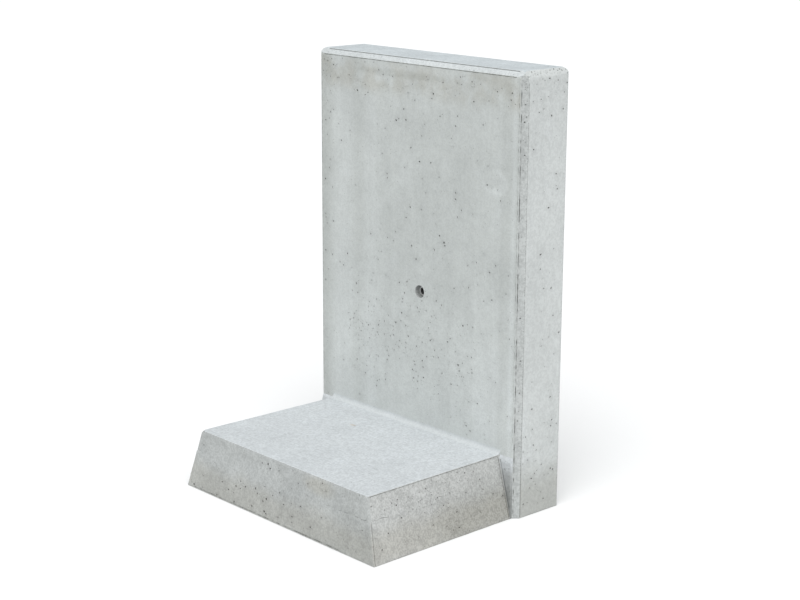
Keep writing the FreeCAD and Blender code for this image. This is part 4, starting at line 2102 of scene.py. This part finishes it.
def concrete_finishes() -> dict[Surface, ConcreteFinish]:
    """Give the finish of each surface of the concrete.

    Returns:
        The finishes by surface.
    """
    soil_tints = (
        BandTint(Axis.Z, 0.698, 0.026, (0.89, 0.865, 0.83), 1.0, 14 * MM, 26 * MM, broken=True),
        PatchTint((-0.03, 0.098, 0.706), (0.11, 0.1, 0.006), DARK, 0.75),
        BandTint(Axis.X, -0.234, 0.017, DARK, 0.75, 14 * MM, 22 * MM),
        BandTint(Axis.X, -0.185, 0.018, PALE, 0.5, 14 * MM, 30 * MM),
        BandTint(Axis.X, -0.145, 0.012, DARK, 0.25, 10 * MM, 30 * MM),
        BandTint(Axis.X, -0.11, 0.016, PALE, 0.5, 12 * MM, 26 * MM),
        BandTint(Axis.X, 0.213, 0.011, DARK, 0.4, 8 * MM, 10 * MM),
        BandTint(Axis.X, 0.231, 0.004, PALE, 0.6, 2.5 * MM, 3 * MM),
        PatchTint((0.19, 0.098, 0.553), (0.027, 0.1, 0.022), (1.12, 1.12, 1.13), 0.8, 0.2, 0.5),
        PatchTint((0.181, 0.098, 0.557), (0.018, 0.1, 0.015), DARK, 0.65, 0.3, 0.6),
        # Painted light: the lower soil face near the foot is lighter, standing in for light bounced off
        # the foot's top.
        BandTint(Axis.Z, 0.14, 0.16, (1.14, 1.14, 1.145), 1.0, 150 * MM, 60 * MM),
        PatchTint((0.19, 0.098, 0.19), (0.04, 0.1, 0.09), PALE, 0.5),
        PatchTint((0.06, 0.098, 0.42), (0.11, 0.1, 0.22), DARK, 0.12),
    )
    foot_stain = BandTint(Axis.Z, 0.02, 0.026, BROWN, 0.75, 18 * MM, 30 * MM)
    wall_stain = BandTint(Axis.Z, 0.01, 0.06, (0.76, 0.745, 0.715), 0.9, 34 * MM, 40 * MM)
    # Painted shade: the band beside the foot gets darker towards the bottom, in the narrow wedge
    # between it and the foot's side.
    band_painted_shade = BandTint(Axis.Z, 0.0, 0.065, (0.5, 0.5, 0.48), 0.95, 34 * MM, 10 * MM)
    # Painted highlight: the top of the band, where its ledge faces up, is lighter.
    ledge_painted_highlight = BandTint(Axis.Z, 0.104, 0.024, (1.22, 1.23, 1.25), 1.0, 8 * MM, 6 * MM)
    return {
        Surface.SOIL_FACE: ConcreteFinish(
            PASTE,
            streaks=0.035,
            streak_width=22 * MM,
            grain=0.09,
            grain_size=2.8 * MM,
            tints=soil_tints,
        ),
        Surface.BACK_FACE: ConcreteFinish(PASTE, streaks=0.05, tints=(wall_stain,)),
        Surface.END_FACE: ConcreteFinish(
            (0.59, 0.613, 0.606),
            clouds=0.05,
            streaks=0.02,
            grain=0.11,
            pinholes=0.3,
            tints=(wall_stain,),
        ),
        Surface.UPRIGHT_BEVEL: ConcreteFinish(
            (0.505, 0.525, 0.518), streaks=0.05, streak_width=5 * MM, grain=0.18, pinholes=0.3
        ),
        Surface.TOP_BEVEL: ConcreteFinish(
            (0.605, 0.635, 0.64), clouds=0.06, grain=0.14, grain_size=2.8 * MM, relief=0.12 * MM
        ),
        Surface.TOP_FACE: ConcreteFinish(FLOATED_PASTE, clouds=0.08, cloud_size=0.06, grain=0.16),
        Surface.FLOATED: ConcreteFinish(
            (0.61, 0.64, 0.656),
            clouds=0.05,
            cloud_size=0.07,
            grain=0.16,
            grain_size=4 * MM,
            pinholes=0.08,
            float_marks=0.06,
            tints=(PatchTint((-0.065, 0.018, 0.104), (0.006, 0.003, 0.05), (0.9, 0.8, 0.7), 0.9),),
            relief=0.55 * MM,
        ),
        Surface.COVE: ConcreteFinish((0.575, 0.605, 0.612), clouds=0.03, grain=0.08),
        Surface.TOE: ConcreteFinish(
            FOOT_PASTE,
            clouds=0.12,
            cloud_size=0.07,
            grain=0.18,
            grain_size=3.2 * MM,
            pinholes=0.45,
            tints=(
                foot_stain,
                PatchTint((-0.1, -0.2, 0.045), (0.2, 0.1, 0.03), PALE, 0.3),
                PatchTint((0.1, -0.2, 0.09), (0.035, 0.1, 0.014), BROWN, 0.9),
                PatchTint((0.2, -0.2, 0.05), (0.05, 0.1, 0.05), DARK, 0.45),
            ),
        ),
        Surface.FOOT_SIDE: ConcreteFinish(
            (0.515, 0.524, 0.512),
            clouds=0.1,
            cloud_size=0.07,
            grain=0.24,
            grain_size=3 * MM,
            pinholes=0.5,
            tints=(
                foot_stain,
                PatchTint((0.235, 0.05, 0.0), (0.1, 0.13, 0.06), (0.82, 0.82, 0.8), 0.9),
            ),
        ),
        Surface.BAND: ConcreteFinish(
            (0.52, 0.54, 0.545), clouds=0.1, cloud_size=0.04, tints=(band_painted_shade, ledge_painted_highlight)
        ),
        Surface.UNDERSIDE: ConcreteFinish((0.48, 0.49, 0.48), clouds=0.14),
        # The recess's darker paste is painted shade inside the hole.
        Surface.RECESS: ConcreteFinish((0.4, 0.415, 0.41), clouds=0.1, cloud_size=0.02),
    }


def piece_finishes() -> dict[str, PieceFinish]:
    """Give the finish of each of the record's material slots but the concrete's."""
    return {
        "socket_steel": PieceFinish(
            (0.72, 0.73, 0.74), (0.42, 0.42, 0.41), 6 * MM, 0.5, 0.7, 0.38, 0.7, 0.1 * MM
        ),
        # The thread's near-black colour is painted shade deep inside the bore.
        "socket_bore": PieceFinish(
            (0.05, 0.05, 0.05), (0.035, 0.033, 0.03), 5 * MM, 0.5, 0.2, 0.5, 0.8, 0.05 * MM
        ),
        "bar_steel": PieceFinish(
            (0.22, 0.2, 0.19), (0.2, 0.075, 0.03), 14 * MM, 0.38, 0.8, 0.5, 0.85, 0.25 * MM
        ),
        "tie_wire": PieceFinish(
            (0.13, 0.12, 0.12), (0.16, 0.07, 0.035), 8 * MM, 0.5, 0.8, 0.42, 0.8, 0.08 * MM
        ),
        "spacer_plastic": PieceFinish(
            (0.25, 0.26, 0.27), (0.42, 0.43, 0.42), 10 * MM, 0.52, 0.0, 0.45, 0.75, 0.12 * MM
        ),
    }


# ---- The studio ----


@dataclass(frozen=True)
class Studio:
    """A pale floor, soft light and the camera.

    Attributes:
        azimuth: The camera's direction round the object, in degrees.
        elevation: Its height above the horizon, in degrees.
        roll: Its turn about its own axis, in degrees.
        lens: Its focal length, in millimetres.
        distance: How far it is from its target.
        target: The point that it looks at.
        floor_radius: How far the floor reaches.
        sky: The colour of the light all round.
        sky_strength: How bright that light is.
        lamp: The light of the large lamp, as it falls from +X, from -Y and from above.
        lamp_spread: How wide the lamp looks from the object, in degrees.
    """

    azimuth: float = 47.62
    elevation: float = 14.1
    roll: float = 0.252
    lens: float = 77.03
    distance: float = 2.993
    target: tuple[float, float, float] = (-0.0723, 0.1334, 0.3062)
    floor_radius: float = 40.0
    sky: Colour = (0.97, 0.99, 1.0)
    sky_strength: float = 0.6
    lamp: tuple[float, float, float] = (0.29, 0.27, 0.62)
    lamp_spread: float = 55.0

    FLOOR_SIDES = 64
    FLOOR_DROP = 0.2 * MM

    def build(self) -> None:
        """Set up everything round the object."""
        self.build_camera()
        self.build_floor()
        self.build_light()

    def build_camera(self) -> None:
        """Place the camera and make it the scene's own."""
        turn, rise, roll = (math.radians(a) for a in (self.azimuth, self.elevation, self.roll))
        level = Vector((math.sin(turn), -math.cos(turn), 0))
        back = level * math.cos(rise) + Vector((0, 0, math.sin(rise)))
        right = Vector((math.cos(turn), math.sin(turn), 0))
        up = back.cross(right)
        rolled_right = right * math.cos(roll) + up * math.sin(roll)
        rolled_up = up * math.cos(roll) - right * math.sin(roll)
        data = bpy.data.cameras.new("camera")
        data.lens = self.lens
        data.clip_end = 3 * self.floor_radius
        camera = add_object("camera", data)
        facing = Matrix((rolled_right, rolled_up, back)).transposed().to_4x4()
        camera.matrix_world = Matrix.Translation(Vector(self.target) + back * self.distance) @ facing
        bpy.context.scene.camera = camera

    def build_floor(self) -> None:
        """Lay a round pale floor just under the object."""
        points = []
        for k in range(self.FLOOR_SIDES):
            angle = math.tau * k / self.FLOOR_SIDES
            reach = self.floor_radius
            points.append((reach * math.cos(angle), reach * math.sin(angle), -self.FLOOR_DROP))
        mesh = bpy.data.meshes.new("studio_floor")
        mesh.from_pydata(points, [], [tuple(range(self.FLOOR_SIDES))])
        material, paint, shader, place = Painter.start_material("studio_floor")
        colour = paint.tint((0.9, 0.9, 0.9, 1.0), (0.99, 0.99, 0.99), paint.noise(place, 1.5, 2.0))
        paint.feed(shader.inputs["Base Color"], colour)
        shader.inputs["Roughness"].default_value = 0.9
        shader.inputs["Specular IOR Level"].default_value = 0.1
        mesh.materials.append(material)
        floor = add_object("studio_floor", mesh)

    def build_light(self) -> None:
        """Light the object evenly all round, with one large soft lamp overhead."""
        world = bpy.data.worlds.new("studio_sky")
        world.use_nodes = True
        background = world.node_tree.nodes["Background"]
        background.inputs["Color"].default_value = (*self.sky, 1.0)
        background.inputs["Strength"].default_value = self.sky_strength
        bpy.context.scene.world = world
        lamp_data = bpy.data.lights.new("overhead_softbox", "SUN")
        right, front, above = self.lamp
        toward_lamp = Vector((right, -front, above))
        lamp_data.energy = math.pi * toward_lamp.length
        lamp_data.angle = math.radians(self.lamp_spread)
        lamp = add_object("overhead_softbox", lamp_data)
        lamp.rotation_euler = toward_lamp.to_track_quat("Z", "Y").to_euler()
        bpy.context.scene.view_settings.view_transform = "Standard"


def dress_cad_nodes(effects: EffectLibrary, replaced: Iterable[str]) -> dict[str, bpy.types.Material]:
    """Give every CAD node that stays shown the finish of its slot.

    Args:
        effects: The shared effects.
        replaced: The nodes that other pieces stand for.

    Returns:
        The materials by slot.
    """
    materials = {slot: finish.make(slot, effects) for slot, finish in piece_finishes().items()}
    for row in frame["record"]["subparts"]:
        name, slot = row["node"], row["material_slot"]
        if name in replaced:
            continue
        for place in frame["nodes"][name].material_slots:
            place.material = materials[slot]
        log.info("%s keeps its CAD shape, in %s", name, slot)
    return materials


def keep_piece(piece: bpy.types.Object, node: str) -> None:
    """Fix a new piece to the frame in the place of a CAD node.

    Args:
        piece: The new piece.
        node: The CAD node that it stands for.
    """
    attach(piece, "root")
    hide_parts(node)
    log.info("%s replaces %s, with %d faces", piece.name, node, len(piece.data.polygons))


def main() -> None:
    """Build the studio and every piece."""
    logging.basicConfig(level=logging.INFO, format="%(name)s: %(message)s")
    Studio().build()
    effects = EffectLibrary()
    materials = dress_cad_nodes(effects, ("concrete_body", "lifting_socket"))
    socket = Socket.from_frame()
    concrete = {
        surface: finish.make(f"concrete_{surface.value}", effects)
        for surface, finish in concrete_finishes().items()
    }
    keep_piece(Casting.from_frame(socket).build(concrete), "concrete_body")
    sleeve = LiftingSleeve(socket).build(materials["socket_steel"], materials["socket_bore"])
    keep_piece(sleeve, "lifting_socket")


if __name__ == "__main__":
    main()
